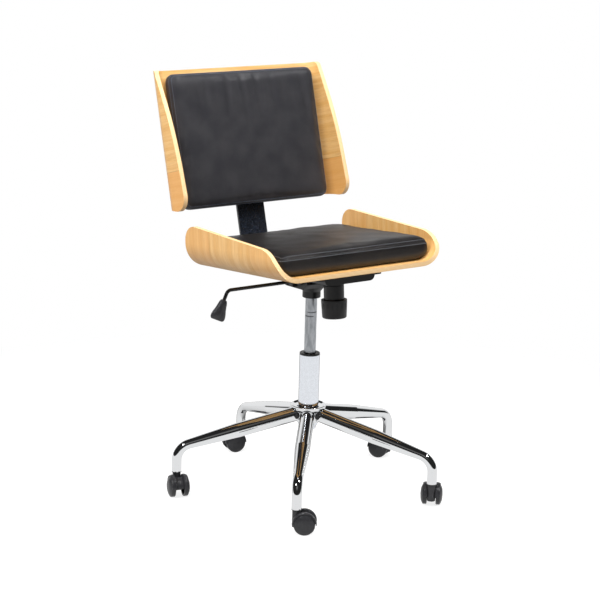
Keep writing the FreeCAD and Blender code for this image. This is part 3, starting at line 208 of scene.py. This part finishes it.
def plain(name, colour, roughness, metallic=0.0, coat=0.0, grain=0.0, spread=0.0, mottleAndSheen=0.0):
    graph = material(name)
    place = graph.vector(*graph.coordinates(upright))
    drift = graph.noise(place, wearAndSheen["drift"], 2.0)
    patch = graph.noise(place, wearAndSheen["patch"], 4.0, 0.65)
    # lighter and darker copies of the colour in random patches; on the back bar these patches are painted
    # reflection
    shade = tuple(c * (1 - mottleAndSheen) for c in colour)
    lit = tuple(c * (1 + mottleAndSheen) for c in colour)
    gloss = drift.ramp(0.3, 0.7, max(roughness - spread, 0.02), roughness + spread)
    height = graph.noise(place, wearAndSheen["fine"], 2.0)
    return graph.finish(graph.surface(
        Base_Color=graph.mix(patch.ramp(0.35, 0.7), shade, lit), Metallic=metallic, Coat_Weight=coat,
        Coat_Roughness=wearAndSheen["coatRough"], Roughness=gloss, Normal=graph.bump(height, grain)))


# the near-black colour for the two crimps is painted shade: the grooves drawn as dark arcs, each over one
# side of the round as the camera sees it
cylinder = {"light": (0.62, 0.64, 0.67), "dark": (0.34, 0.36, 0.38), "crimpShade": (0.03, 0.03, 0.035),
            "upperCrimp": 446.3, "lowerCrimp": 436.4, "crimpWidth": 2.4, "right": (0.81, -0.58),
            "upperFrom": (-12.0, -5.0), "lowerTo": (4.0, 9.0), "round": (0.25, 3.0), "rubbed": (0.15, 0.04)}


def drawnSteel():  # finely brushed round, with two short crimp arcs darkened as painted shade, and rubbed patches
    graph = material("cylinderSteel")
    x, y, z = graph.coordinates(upright)
    aside = x * cylinder["right"][0] + y * cylinder["right"][1]
    brush, patch = (graph.noise(graph.vector(x * flat, y * flat, z * rise), 1.0, 3.0)
                    for flat, rise in (cylinder["round"], cylinder["rubbed"]))
    # painted shade in the two crimp grooves, each arc kept to one side across the camera's view
    upper = z.near(cylinder["upperCrimp"], cylinder["crimpWidth"]) * aside.ramp(*cylinder["upperFrom"])
    lower = z.near(cylinder["lowerCrimp"], cylinder["crimpWidth"]) * (1 - aside.ramp(*cylinder["lowerTo"]))
    crimpShade = (upper + lower).math("MINIMUM", 1.0)
    tone = graph.mix(patch.ramp(0.32, 0.7), cylinder["dark"], cylinder["light"])
    tone = graph.mix(brush.ramp(0.45, 0.75, 0.0, 0.35), tone, cylinder["dark"])
    return graph.finish(graph.surface(
        Base_Color=graph.mix(crimpShade * 0.9, tone, cylinder["crimpShade"]), Metallic=1.0,
        Roughness=patch.ramp(0.3, 0.7, 0.3, 0.42), Normal=graph.bump(brush - crimpShade * 4.0, 0.03)))


finishes = {
    "chrome": plain("chrome", (0.86, 0.87, 0.88), 0.04, metallic=1.0, spread=0.015),
    "columnChrome": plain("columnChrome", (0.87, 0.90, 0.95), 0.13, metallic=1.0, spread=0.03,
                          mottleAndSheen=0.03),
    "bareSteel": plain("bareSteel", (0.55, 0.56, 0.58), 0.28, metallic=1.0, grain=0.02, spread=0.05),
    "blackSteel": plain("blackSteel", screen(12, 12, 13), 0.42, coat=0.08, grain=0.05, spread=0.06,
                        mottleAndSheen=0.2),
    # painted reflection: the back bar's strong light and dark patches stand for the mottled reflections on
    # its gloss cover
    "barBlack": plain("barBlack", screen(35, 40, 50), 0.26, coat=0.5, grain=0.16, spread=0.08, mottleAndSheen=0.45),
    "blackPlastic": plain("blackPlastic", screen(23, 23, 24), 0.42, grain=0.06, spread=0.06, mottleAndSheen=0.12),
    "casterPlastic": plain("casterPlastic", screen(46, 46, 49), 0.36, grain=0.05, spread=0.06, mottleAndSheen=0.15),
    "boardPly": plain("boardPly", screen(205, 170, 125), 0.7, grain=0.1, spread=0.05, mottleAndSheen=0.1),
    "seatThread": plain("seatThread", screen(128, 132, 140), 0.6, grain=0.03, spread=0.05),
    "backThread": plain("backThread", screen(104, 114, 134), 0.6, grain=0.03, spread=0.05),
    "cylinderSteel": drawnSteel(),
}


# Bent ply: veneer grain along the bend, joined strips, pale layers on the edges

def shellDepth(half, bend):  # distance from the outer face of a U section whose floor is at zero
    def depth(graph, x, rise):
        aside = graph.math("MAXIMUM", x.size() - (half - bend), 0.0)
        below = graph.math("MAXIMUM", bend - rise, 0.0)
        return bend - graph.math("SQRT", aside * aside + below * below)
    return depth


veneer = {"light": screen(240, 198, 134), "mid": screen(228, 176, 104), "dark": screen(168, 108, 54),
          "warm": screen(228, 160, 84), "joint": screen(150, 96, 48), "edge": screen(250, 220, 172),
          "edgeDark": screen(222, 172, 112), "layer": 1.44, "skin": 0.45, "layers": 8, "jointWide": 0.9,
          "stripStep": 40.0, "wander": 16.0}
seatShell = {"depth": shellDepth(241.0, 60.0), "tone": 0.3, "joints": ((-88.0, -0.22), (81.0, 0.26))}
backShell = {"depth": shellDepth(248.0, 40.0), "tone": 0.6, "joints": ((223.0, -0.55),)}


def ply(name, matrix, sizes, depthOf, alongOf, acrossOf):
    graph = material(name)
    x, y, z = graph.coordinates(matrix)
    inside = depthOf(graph, x, y, z)
    run = alongOf(x, y, z)
    over = acrossOf(x, y, z)
    tone = sum((over.above(place) * step for place, step in sizes["joints"]), sizes["tone"])
    seam = sum((over.near(place, veneer["jointWide"]) for place, step in sizes["joints"]), 0.0)
    strip = tone * veneer["stripStep"]
    wander = graph.noise(graph.vector(run * 0.004, over * 0.012, strip * 0.7), 1.0, 2.0)
    bent = over + wander * veneer["wander"]
    fibre = graph.noise(graph.vector(run * 0.018, bent * 0.9, strip), 1.0, 3.0, 0.6)
    figure = graph.noise(graph.vector(run * 0.003, bent * 0.085, strip), 1.0, 3.0)
    pores = graph.noise(graph.vector(run * 0.06, bent * 2.2, strip), 1.0, 2.0)
    face = graph.mix(figure.ramp(0.28, 0.72), veneer["light"], veneer["mid"])
    face = graph.mix(fibre.ramp(0.44, 0.72, 0.0, 0.42), face, veneer["dark"])
    face = graph.mix(pores.ramp(0.56, 0.74, 0.0, 0.3), face, veneer["dark"])
    face = graph.mix(tone, face, veneer["warm"])
    face = graph.mix(seam * 0.55, face, veneer["joint"])
    layer = (inside / veneer["layer"]).floor()
    odd = (layer * 0.5 - (layer * 0.5).floor()) * 2.0
    speck = graph.noise(graph.vector(x * 0.6, y * 0.6, z * 0.6), 1.0, 2.0)
    rim = graph.mix(odd * 0.6 + speck * 0.25, veneer["edge"], veneer["edgeDark"])
    core = veneer["layers"] * veneer["layer"] - veneer["skin"]
    onEdge = inside.above(veneer["skin"]) - inside.above(core)
    return graph.finish(graph.surface(
        Base_Color=graph.mix(onEdge, face, rim), Coat_Weight=0.22, Coat_Roughness=0.3,
        Roughness=fibre.ramp(0.3, 0.8, 0.38, 0.52), Normal=graph.bump(fibre + odd * onEdge, 0.06)))


plySeat = ply("plySeat", seatMatrix, seatShell,
              lambda graph, x, y, z: seatShell["depth"](graph, x, z),
              lambda x, y, z: x + x.math("SIGN") * z,
              lambda x, y, z: y)
plyBack = ply("plyBack", backMatrix, backShell,
              lambda graph, x, y, z: backShell["depth"](graph, x, y * -1.0),
              lambda x, y, z: x - x.math("SIGN") * y,
              lambda x, y, z: z)

hide = {"pebble": 0.85, "soft": 0.02, "fine": 1.8, "creases": 0.11, "rough": 0.42,
        # one leather in two copies: darker and warmer on the seat as painted shade, lighter on the back as
        # painted light
        "seat": (screen(23, 22, 23), screen(33, 30, 29)),
        "back": (screen(41, 41, 45), screen(53, 52, 55))}


def leather(name, matrix, colours):  # pebbled grain and fine creases, a little lighter in soft patches
    graph = material(name)
    place = graph.vector(*graph.coordinates(matrix))
    pebble = graph.cracks(place, hide["pebble"]).ramp(0.0, 0.18)
    soft = graph.noise(place, hide["soft"], 4.0)
    fine = graph.noise(place, hide["fine"], 2.0)
    creases = graph.noise(place, hide["creases"], 3.0, 0.6)
    return graph.finish(graph.surface(
        Base_Color=graph.mix(soft.ramp(0.3, 0.75), *colours),
        Roughness=soft.ramp(0.2, 0.8, hide["rough"] - 0.02, hide["rough"] + 0.03),
        Normal=graph.bump(pebble * 0.6 + fine * 0.35 + creases * 2.0, 0.1, 0.7)))


# the seat's leather copy carries painted shade and the back's copy carries painted light
leatherSeatShaded = leather("leatherSeatShaded", seatMatrix, hide["seat"])
leatherBackLit = leather("leatherBackLit", backMatrix, hide["back"])
print("finishes made")


# Finishes on the fixed and moving pieces

nodeFinish = {
    "base_hub": "chrome", "base_leg": "chrome", "hub_saucer": "chrome", "hub_plugs": "blackPlastic",
    "caster_sockets": "blackPlastic", "caster_hood": "casterPlastic", "caster_wheel": "casterPlastic",
    "caster_stem": "bareSteel", "caster_axle": "bareSteel", "column_tube": "columnChrome",
    "column_bush": "blackPlastic", "thrust_bearing": "bareSteel", "piston_rod": "bareSteel",
    "rod_clip": "bareSteel", "gas_cylinder": "cylinderSteel", "release_button": "bareSteel",
    "tilt_housing": "blackSteel", "tilt_pivot_pin": "bareSteel", "spring_sleeve": "blackSteel",
    "tension_spring": "bareSteel", "tension_bolt": "bareSteel", "tension_knob": "blackPlastic",
    "lever_bush": "blackPlastic", "lever_rod": "blackSteel", "lever_grip": "casterPlastic",
    "seat_plate": "blackSteel", "seat_bolts": "bareSteel", "back_bolts": "bareSteel",
    "seat_cushion_board": "boardPly", "back_cushion_board": "boardPly", "back_bar": "barBlack",
}


def dress(item, finish):
    item.data.materials.clear()
    item.data.materials.append(finish)


for name, node in nodes.items():
    stem = max((key for key in nodeFinish if name.startswith(key)), key=len, default=None)
    if stem:
        dress(node, finishes[nodeFinish[stem]])
dress(nodes["seat_shell"], plySeat)
dress(nodes["back_shell"], plyBack)
print("pieces dressed")


# Cushions: remeshed from their solids, blown up as cloth, then seamed, creased and stitched

seatPad = {"node": "seat_cushion", "frame": seatMatrix, "half": 218.0, "low": -183.0, "high": 184.0,
           "corner": 16.0, "crown": 14.0, "cap": 3.5, "seamDeep": 1.6, "wave": 1.6,
           "creaseDeep": 0.0, "creaseReach": 1.0}
backPad = {"node": "back_cushion", "frame": facePad, "half": 216.0, "low": 128.0, "high": 462.0,
           "corner": 20.0, "crown": 10.0, "cap": 4.0, "seamDeep": 1.4, "wave": 0.4,
           "creaseDeep": 3.6, "creaseReach": 170.0}
padding = {"cell": 6.0, "shrink": 1.5, "sink": 0.8, "frames": 20, "seamOut": 3.0, "seamWide": 3.2,
           "farInside": 60.0, "belowSeam": 4.0, "faceRise": 6.0, "faceIn": 25.0, "waveScale": 0.018,
           "foldScale": (0.045, 0.007), "foldTop": 0.1}
cloth = {"quality": 5, "mass": 0.4, "tension_stiffness": 15, "compression_stiffness": 15,
         "shear_stiffness": 8, "bending_stiffness": 4, "use_pressure": True, "uniform_pressure_force": 3.0}


def baked(piece):  # a piece's mesh becomes what its modifiers make of it
    graph = bpy.context.evaluated_depsgraph_get()
    mesh = bpy.data.meshes.new_from_object(piece.evaluated_get(graph))
    piece.modifiers.clear()
    piece.data = mesh
    mesh.polygons.foreach_set("use_smooth", [True] * len(mesh.polygons))
    return piece


def linked(name, data):
    piece = bpy.data.objects.new(name, data)
    scene.collection.objects.link(piece)
    return piece


def read(mesh, what):
    values = np.empty(len(mesh.vertices) * 3)
    mesh.vertices.foreach_get(what, values)
    return values.reshape(-1, 3)


def inflate(piece, cap):  # cloth under pressure from a slightly smaller shape, its travel capped
    rest = read(piece.data, "co")
    normals = read(piece.data, "normal")
    start = rest - normals * padding["shrink"] * mm
    piece.data.vertices.foreach_set("co", start.ravel())
    blown = piece.modifiers.new("cloth", "CLOTH")
    for key, setting in cloth.items():
        setattr(blown.settings, key, setting)
    blown.settings.effector_weights.gravity = 0
    blown.point_cache.frame_start = 1
    blown.point_cache.frame_end = padding["frames"]
    for step in range(1, padding["frames"] + 1):
        scene.frame_set(step)
    graph = bpy.context.evaluated_depsgraph_get()
    shift = read(piece.evaluated_get(graph).data, "co") - start
    piece.modifiers.clear()
    length = np.linalg.norm(shift, axis=1)
    shift *= np.minimum(1, cap * mm / np.maximum(length, 1e-9))[:, None]
    end = start + shift
    sunk = -((end - rest) * normals).sum(axis=1) - padding["sink"] * mm
    end += normals * np.maximum(sunk, 0)[:, None]
    piece.data.vertices.foreach_set("co", end.ravel())
    scene.frame_set(1)


def outside(sizes, u, v):  # signed distance from the cushion's plan outline
    middle = (sizes["low"] + sizes["high"]) / 2
    du = np.abs(u) - sizes["half"] + sizes["corner"]
    dv = np.abs(v - middle) - (sizes["high"] - sizes["low"]) / 2 + sizes["corner"]
    corner = np.hypot(np.maximum(du, 0), np.maximum(dv, 0))
    return corner + np.minimum(np.maximum(du, dv), 0) - sizes["corner"]


def worked(piece, sizes):  # the seam sinks in, the face gets waves and soft creases
    inverse = np.array(sizes["frame"].inverted())
    points = read(piece.data, "co")
    local = (points @ inverse[:3, :3].T + inverse[:3, 3]) / mm
    u, v, high = local.T
    top = high.max()
    sizes["seam"] = top - sizes["crown"]
    beyond = outside(sizes, u, v)
    above = high - sizes["seam"]
    toSeam = np.hypot(np.maximum(beyond + padding["seamOut"], -padding["farInside"]), above)
    dent = -sizes["seamDeep"] * np.exp(-(toSeam / padding["seamWide"]) ** 2)
    onFace = np.clip((above + padding["belowSeam"]) / padding["faceRise"], 0, 1)
    onFace *= np.clip(-beyond / padding["faceIn"], 0, 1)
    even = padding["waveScale"]
    across, upward = padding["foldScale"]
    wave = np.array([noise(Vector((a * even, b * even, 3.0))) for a, b in zip(u, v)])
    fold = np.array([noise(Vector((a * across, b * upward, 9.0))) for a, b in zip(u, v)])
    crease = np.clip(1 - (sizes["high"] - v) / sizes["creaseReach"], 0, 1)
    crease *= np.minimum(fold, padding["foldTop"])
    dent += onFace * (sizes["wave"] * wave + sizes["creaseDeep"] * crease)
    moved = points + read(piece.data, "normal") * dent[:, None] * mm
    piece.data.vertices.foreach_set("co", moved.ravel())
    piece.data.update()


def padMade(sizes, name, finish):
    piece = linked(name, nodes[sizes["node"]].data.copy())
    remesh = piece.modifiers.new("even", "REMESH")
    remesh.mode = "VOXEL"
    remesh.voxel_size = padding["cell"] * mm
    baked(piece)
    inflate(piece, sizes["cap"])
    smooth = piece.modifiers.new("fine", "SUBSURF")
    smooth.levels = 1
    smooth.render_levels = 1
    baked(piece)
    worked(piece, sizes)
    dress(piece, finish)
    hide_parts(sizes["node"])
    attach(piece, "seat")
    return piece


seatCushion = padMade(seatPad, "seatCushion", leatherSeatShaded)
backCushion = padMade(backPad, "backCushion", leatherBackLit)
print("cushions made", len(seatCushion.data.polygons), len(backCushion.data.polygons))


# Stitches: a Geometry Nodes tree lays one thread loop at each step of a line

stitch = {"spacing": 4.8, "length": 3.3, "thick": 1.2, "inset": 7.0, "drop": 6.0, "lift": 0.1,
          "start": 60.0}


def stitchTree():
    tree = bpy.data.node_groups.new("stitchRow", "GeometryNodeTree")
    ports = tree.interface
    ports.new_socket("Line", in_out="INPUT", socket_type="NodeSocketGeometry")
    for label in ("Spacing", "Length", "Thick"):
        ports.new_socket(label, in_out="INPUT", socket_type="NodeSocketFloat")
    ports.new_socket("Finish", in_out="INPUT", socket_type="NodeSocketMaterial")
    ports.new_socket("Stitches", in_out="OUTPUT", socket_type="NodeSocketGeometry")

    graph = Graph(tree)
    start = graph.make("NodeGroupInput", {})
    line, spacing, length, thick, finish = (
        graph.output(start, label) for label in ("Line", "Spacing", "Length", "Thick", "Finish"))
    curve = graph.value("GeometryNodeMeshToCurve", {0: line}, 0)
    points = graph.make("GeometryNodeCurveToPoints", {"Curve": curve, "Length": spacing}, mode="LENGTH")
    bead = graph.value("GeometryNodeMeshUVSphere", {"Segments": 6, "Rings": 5, "Radius": 0.5}, "Mesh")
    laid = graph.value("GeometryNodeInstanceOnPoints", {
        "Points": graph.output(points, "Points"), "Instance": bead,
        "Rotation": graph.output(points, "Rotation"), "Scale": graph.vector(thick, thick, length)}, 0)
    real = graph.value("GeometryNodeRealizeInstances", {0: laid}, 0)
    coloured = graph.value("GeometryNodeSetMaterial", {"Geometry": real, "Material": finish}, 0)
    graph.make("NodeGroupOutput", {0: coloured})
    return tree


rowTree = stitchTree()


def ring(sizes, inset, step=6.0):  # the cushion's outline or one inside it, as evenly spaced points
    radius = max(sizes["corner"] - inset, 2)
    wide = sizes["half"] - inset - radius
    low, high = sizes["low"] + inset + radius, sizes["high"] - inset - radius
    corners = ((wide, high, 0), (-wide, high, 90), (-wide, low, 180), (wide, low, 270))
    path = [(cu + radius * math.cos(math.radians(turn)), cv + radius * math.sin(math.radians(turn)))
            for cu, cv, first in corners for turn in range(first, first + 91, 15)]
    path.append(path[0])
    path = np.array(path)
    along = np.concatenate(([0], np.cumsum(np.linalg.norm(np.diff(path, axis=0), axis=1))))
    places = np.linspace(0, along[-1], int(along[-1] / step), endpoint=False)
    return [(np.interp(s, along, path[:, 0]), np.interp(s, along, path[:, 1])) for s in places]


def stitched(pad, sizes, name, thread):
    mesh = pad.data
    surface = BVHTree.FromPolygons([v.co for v in mesh.vertices], [p.vertices[:] for p in mesh.polygons])
    matrix = sizes["frame"]
    turn = matrix.to_3x3()
    far = stitch["start"]
    points, edges = [], []

    def row(casts):
        first = len(points)
        for origin, direction in casts:
            aim = (turn @ Vector(direction)).normalized()
            hit, normal = surface.ray_cast(matrix @ (Vector(origin) * mm), aim)[:2]
            if hit:
                points.append(hit + normal * stitch["lift"] * mm)
        count = len(points) - first
        edges.extend((first + i, first + (i + 1) % count) for i in range(count))

    row([((u, v, sizes["seam"] + far), (0, 0, -1)) for u, v in ring(sizes, stitch["inset"])])
    outline = ring(sizes, 0)
    sides = []
    for (u, v), (nextU, nextV) in zip(outline, outline[1:] + outline[:1]):
        out = Vector((nextV - v, u - nextU, 0)).normalized()
        sides.append((Vector((u, v, sizes["seam"] - stitch["drop"])) + out * far, -out))
    row(sides)
    line = bpy.data.meshes.new(name)
    line.from_pydata(points, edges, [])
    piece = linked(name, line)
    rows = piece.modifiers.new("rows", "NODES")
    rows.node_group = rowTree
    inputs = {item.name: item.identifier for item in rowTree.interface.items_tree if item.in_out == "INPUT"}
    rows[inputs["Spacing"]] = stitch["spacing"] * mm
    rows[inputs["Length"]] = stitch["length"] * mm
    rows[inputs["Thick"]] = stitch["thick"] * mm
    rows[inputs["Finish"]] = thread
    baked(piece)
    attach(piece, "seat")
    return piece


seatStitches = stitched(seatCushion, seatPad, "seatStitches", finishes["seatThread"])
backStitches = stitched(backCushion, backPad, "backStitches", finishes["backThread"])
print("stitches laid", len(seatStitches.data.polygons), len(backStitches.data.polygons))


# Studio: a white floor and backdrop; what polished metal shows is white below and behind the chair
# and dark above and before it, with small lamps

studio = {"floor": 14.0, "cloth": 0.3, "glow": 0.8, "mirrored": 0.86, "rearShare": 0.8, "rearHalf": 60.0,
          "nearEdge": 600.0, "farEdge": 1500.0, "world": 0.55, "radius": 6.0, "lowest": -20, "highest": 89,
          "windowTurn": 57.0, "windowHalf": 52.0, "windowTop": 48.0, "windowFall": 0.6, "windowSoft": 4.0,
          "horizon": (-5.0, -2.0), "spotEdge": (3.0, 4.5), "dark": 0.018, "bandTurn": -132.0,
          "bandHalf": 34.0, "bandRise": 37.0, "bandHigh": 18.0, "bandLevel": 0.16}
view = {"azimuth": -36.0, "elevation": 13.74, "roll": 1.59, "distance": 4.6028, "lens": 114.37,
        "target": Vector((-0.0222, 0.0160, 0.4732))}
lamps = (
    {"name": "keyLamp", "azimuth": -75, "elevation": 48, "distance": 3.2, "size": 2.2, "power": 90,
     "spot": 16},
    {"name": "fillLamp", "azimuth": 30, "elevation": 58, "distance": 3.4, "size": 2.4, "power": 55,
     "spot": 60},
    {"name": "topLamp", "azimuth": 0, "elevation": 88, "distance": 2.8, "size": 2.0, "power": 45,
     "spot": 8},
)


def facing(azimuth, elevation, roll, distance, target):  # looks at the target along its own -Z
    a, e, r = (math.radians(angle) for angle in (azimuth, elevation, roll))
    back = Vector((math.sin(a) * math.cos(e), -math.cos(a) * math.cos(e), math.sin(e)))
    right = Vector((math.cos(a), math.sin(a), 0))
    up = back.cross(right)
    side = right * math.cos(r) + up * math.sin(r)
    top = up * math.cos(r) - right * math.sin(r)
    turned = Matrix((side, top, back)).transposed().to_4x4()
    return Matrix.Translation(target + back * distance) @ turned


def rays(graph, *labels):  # 1 for rays of any of these kinds
    path = graph.make("ShaderNodeLightPath", {})
    kinds = [graph.output(path, label) for label in labels]
    for kind in kinds[1:]:
        kinds[0] = graph.math("MAXIMUM", kinds[0], kind)
    return kinds[0]


def seenRays(graph):
    return rays(graph, "Is Camera Ray", "Is Glossy Ray", "Is Transmission Ray")


def emission(graph, strength):
    return graph.value("ShaderNodeEmission", {"Color": (1, 1, 1, 1), "Strength": strength}, 0)


def groundFinish():  # lifted to white where it is seen, pure white far out, and it keeps the shadow
    graph = material("ground")
    x, y = graph.coordinates(upright)[:2]
    away = (x * x + y * y).math("SQRT").ramp(studio["nearEdge"], studio["farEdge"])
    grey = studio["cloth"]
    cloth = graph.surface(Base_Color=(grey, grey, grey, 1), Roughness=0.9)
    lifted = graph.value("ShaderNodeAddShader", {0: cloth, 1: emission(graph, studio["glow"])}, 0)
    shown = graph.value("ShaderNodeMixShader", {0: away, 1: lifted, 2: emission(graph, 1.0)}, 0)
    behind = (y.math("ARCTAN2", x) * (180 / math.pi)).near(studio["windowTurn"], studio["rearHalf"])
    mirror = emission(graph, (1 - behind * studio["rearShare"]) * studio["mirrored"])
    shown = graph.value("ShaderNodeMixShader", {0: rays(graph, "Is Glossy Ray"), 1: shown, 2: mirror}, 0)
    return graph.finish(graph.value("ShaderNodeMixShader", {0: seenRays(graph), 1: cloth, 2: shown}, 0))


def roomFinish():  # a white wall behind the chair, a pale band before it, a spot for each lamp
    graph = material("room")
    x, y, z = graph.coordinates(upright)
    degrees = 180 / math.pi
    flat = (x * x + y * y).math("SQRT")
    rise = z.math("ARCTAN2", flat) * degrees
    turn = y.math("ARCTAN2", x) * degrees
    aside = (turn - studio["windowTurn"]).size()
    soft, top, half = studio["windowSoft"], studio["windowTop"], studio["windowHalf"]
    window = 1 - (rise + aside * studio["windowFall"]).ramp(top - soft, top + soft)
    window = window * (1 - aside.ramp(half - soft, half + soft))
    window = graph.math("MAXIMUM", window, 1 - rise.ramp(*studio["horizon"]))
    band = turn.near(studio["bandTurn"], studio["bandHalf"])
    band = band * rise.near(studio["bandRise"], studio["bandHigh"])
    level = window * studio["mirrored"] + band * studio["bandLevel"] + studio["dark"]
    for lamp in lamps:
        lampTurn = lamp["azimuth"] - 90
        lampTurn += 360 if lampTurn < -180 else 0
        wide = max(math.cos(math.radians(lamp["elevation"])), 0.1)
        over = (turn - lampTurn) * wide
        upward = rise - lamp["elevation"]
        off = (over * over + upward * upward).math("SQRT")
        level = level + (1 - off.ramp(*studio["spotEdge"])) * lamp["spot"]
    return graph.finish(emission(graph, level))


def roomMesh(radius, rings=24, turns=48):
    lowest, highest = studio["lowest"], studio["highest"]
    points = [(radius * math.cos(rise) * math.cos(turn), radius * math.cos(rise) * math.sin(turn),
               radius * math.sin(rise))
              for rise in (math.radians(lowest + (highest - lowest) * i / rings) for i in range(rings + 1))
              for turn in (math.tau * j / turns for j in range(turns))]
    faces = [(i * turns + j, i * turns + (j + 1) % turns, (i + 1) * turns + (j + 1) % turns,
              (i + 1) * turns + j)
             for i in range(rings) for j in range(turns)]
    faces.append([rings * turns + j for j in range(turns)])
    mesh = bpy.data.meshes.new("room")
    mesh.from_pydata(points, [], faces)
    return mesh


half = studio["floor"] / 2
groundMesh = bpy.data.meshes.new("ground")
groundCorners = [(-half, -half, 0), (half, -half, 0), (half, half, 0), (-half, half, 0)]
groundMesh.from_pydata(groundCorners, [], [(0, 1, 2, 3)])
ground = linked("ground", groundMesh)
dress(ground, groundFinish())
ground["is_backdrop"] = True
room = linked("room", roomMesh(studio["radius"]))
dress(room, roomFinish())
room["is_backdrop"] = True
room.visible_camera = False
room.visible_diffuse = False
room.visible_shadow = False
room.visible_transmission = False

world = bpy.data.worlds.new("studio")
scene.world = world
sky = shading(world)
skyLevel = seenRays(sky).ramp(0, 1, studio["world"], 1.0)
sky.finish(sky.value("ShaderNodeBackground", {"Color": (1, 1, 1, 1), "Strength": skyLevel}, 0),
           "ShaderNodeOutputWorld")

for lamp in lamps:
    data = bpy.data.lights.new(lamp["name"], "AREA")
    data.shape = "DISK"
    data.size = lamp["size"]
    data.energy = lamp["power"]
    item = linked(lamp["name"], data)
    item.matrix_world = facing(lamp["azimuth"], lamp["elevation"], 0, lamp["distance"], view["target"])
    item.visible_glossy = False

cameraData = bpy.data.cameras.new("camera")
cameraData.lens = view["lens"]
cameraData.sensor_width = 36
cameraData.clip_end = 60
camera = linked("camera", cameraData)
camera.matrix_world = facing(view["azimuth"], view["elevation"], view["roll"], view["distance"],
                             view["target"])
scene.camera = camera
scene.view_settings.view_transform = "Standard"
print("studio set")

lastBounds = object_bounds()
corners = [[list(c) for c in pair] for pair in (firstBounds, lastBounds)]
print("bounds", corners)
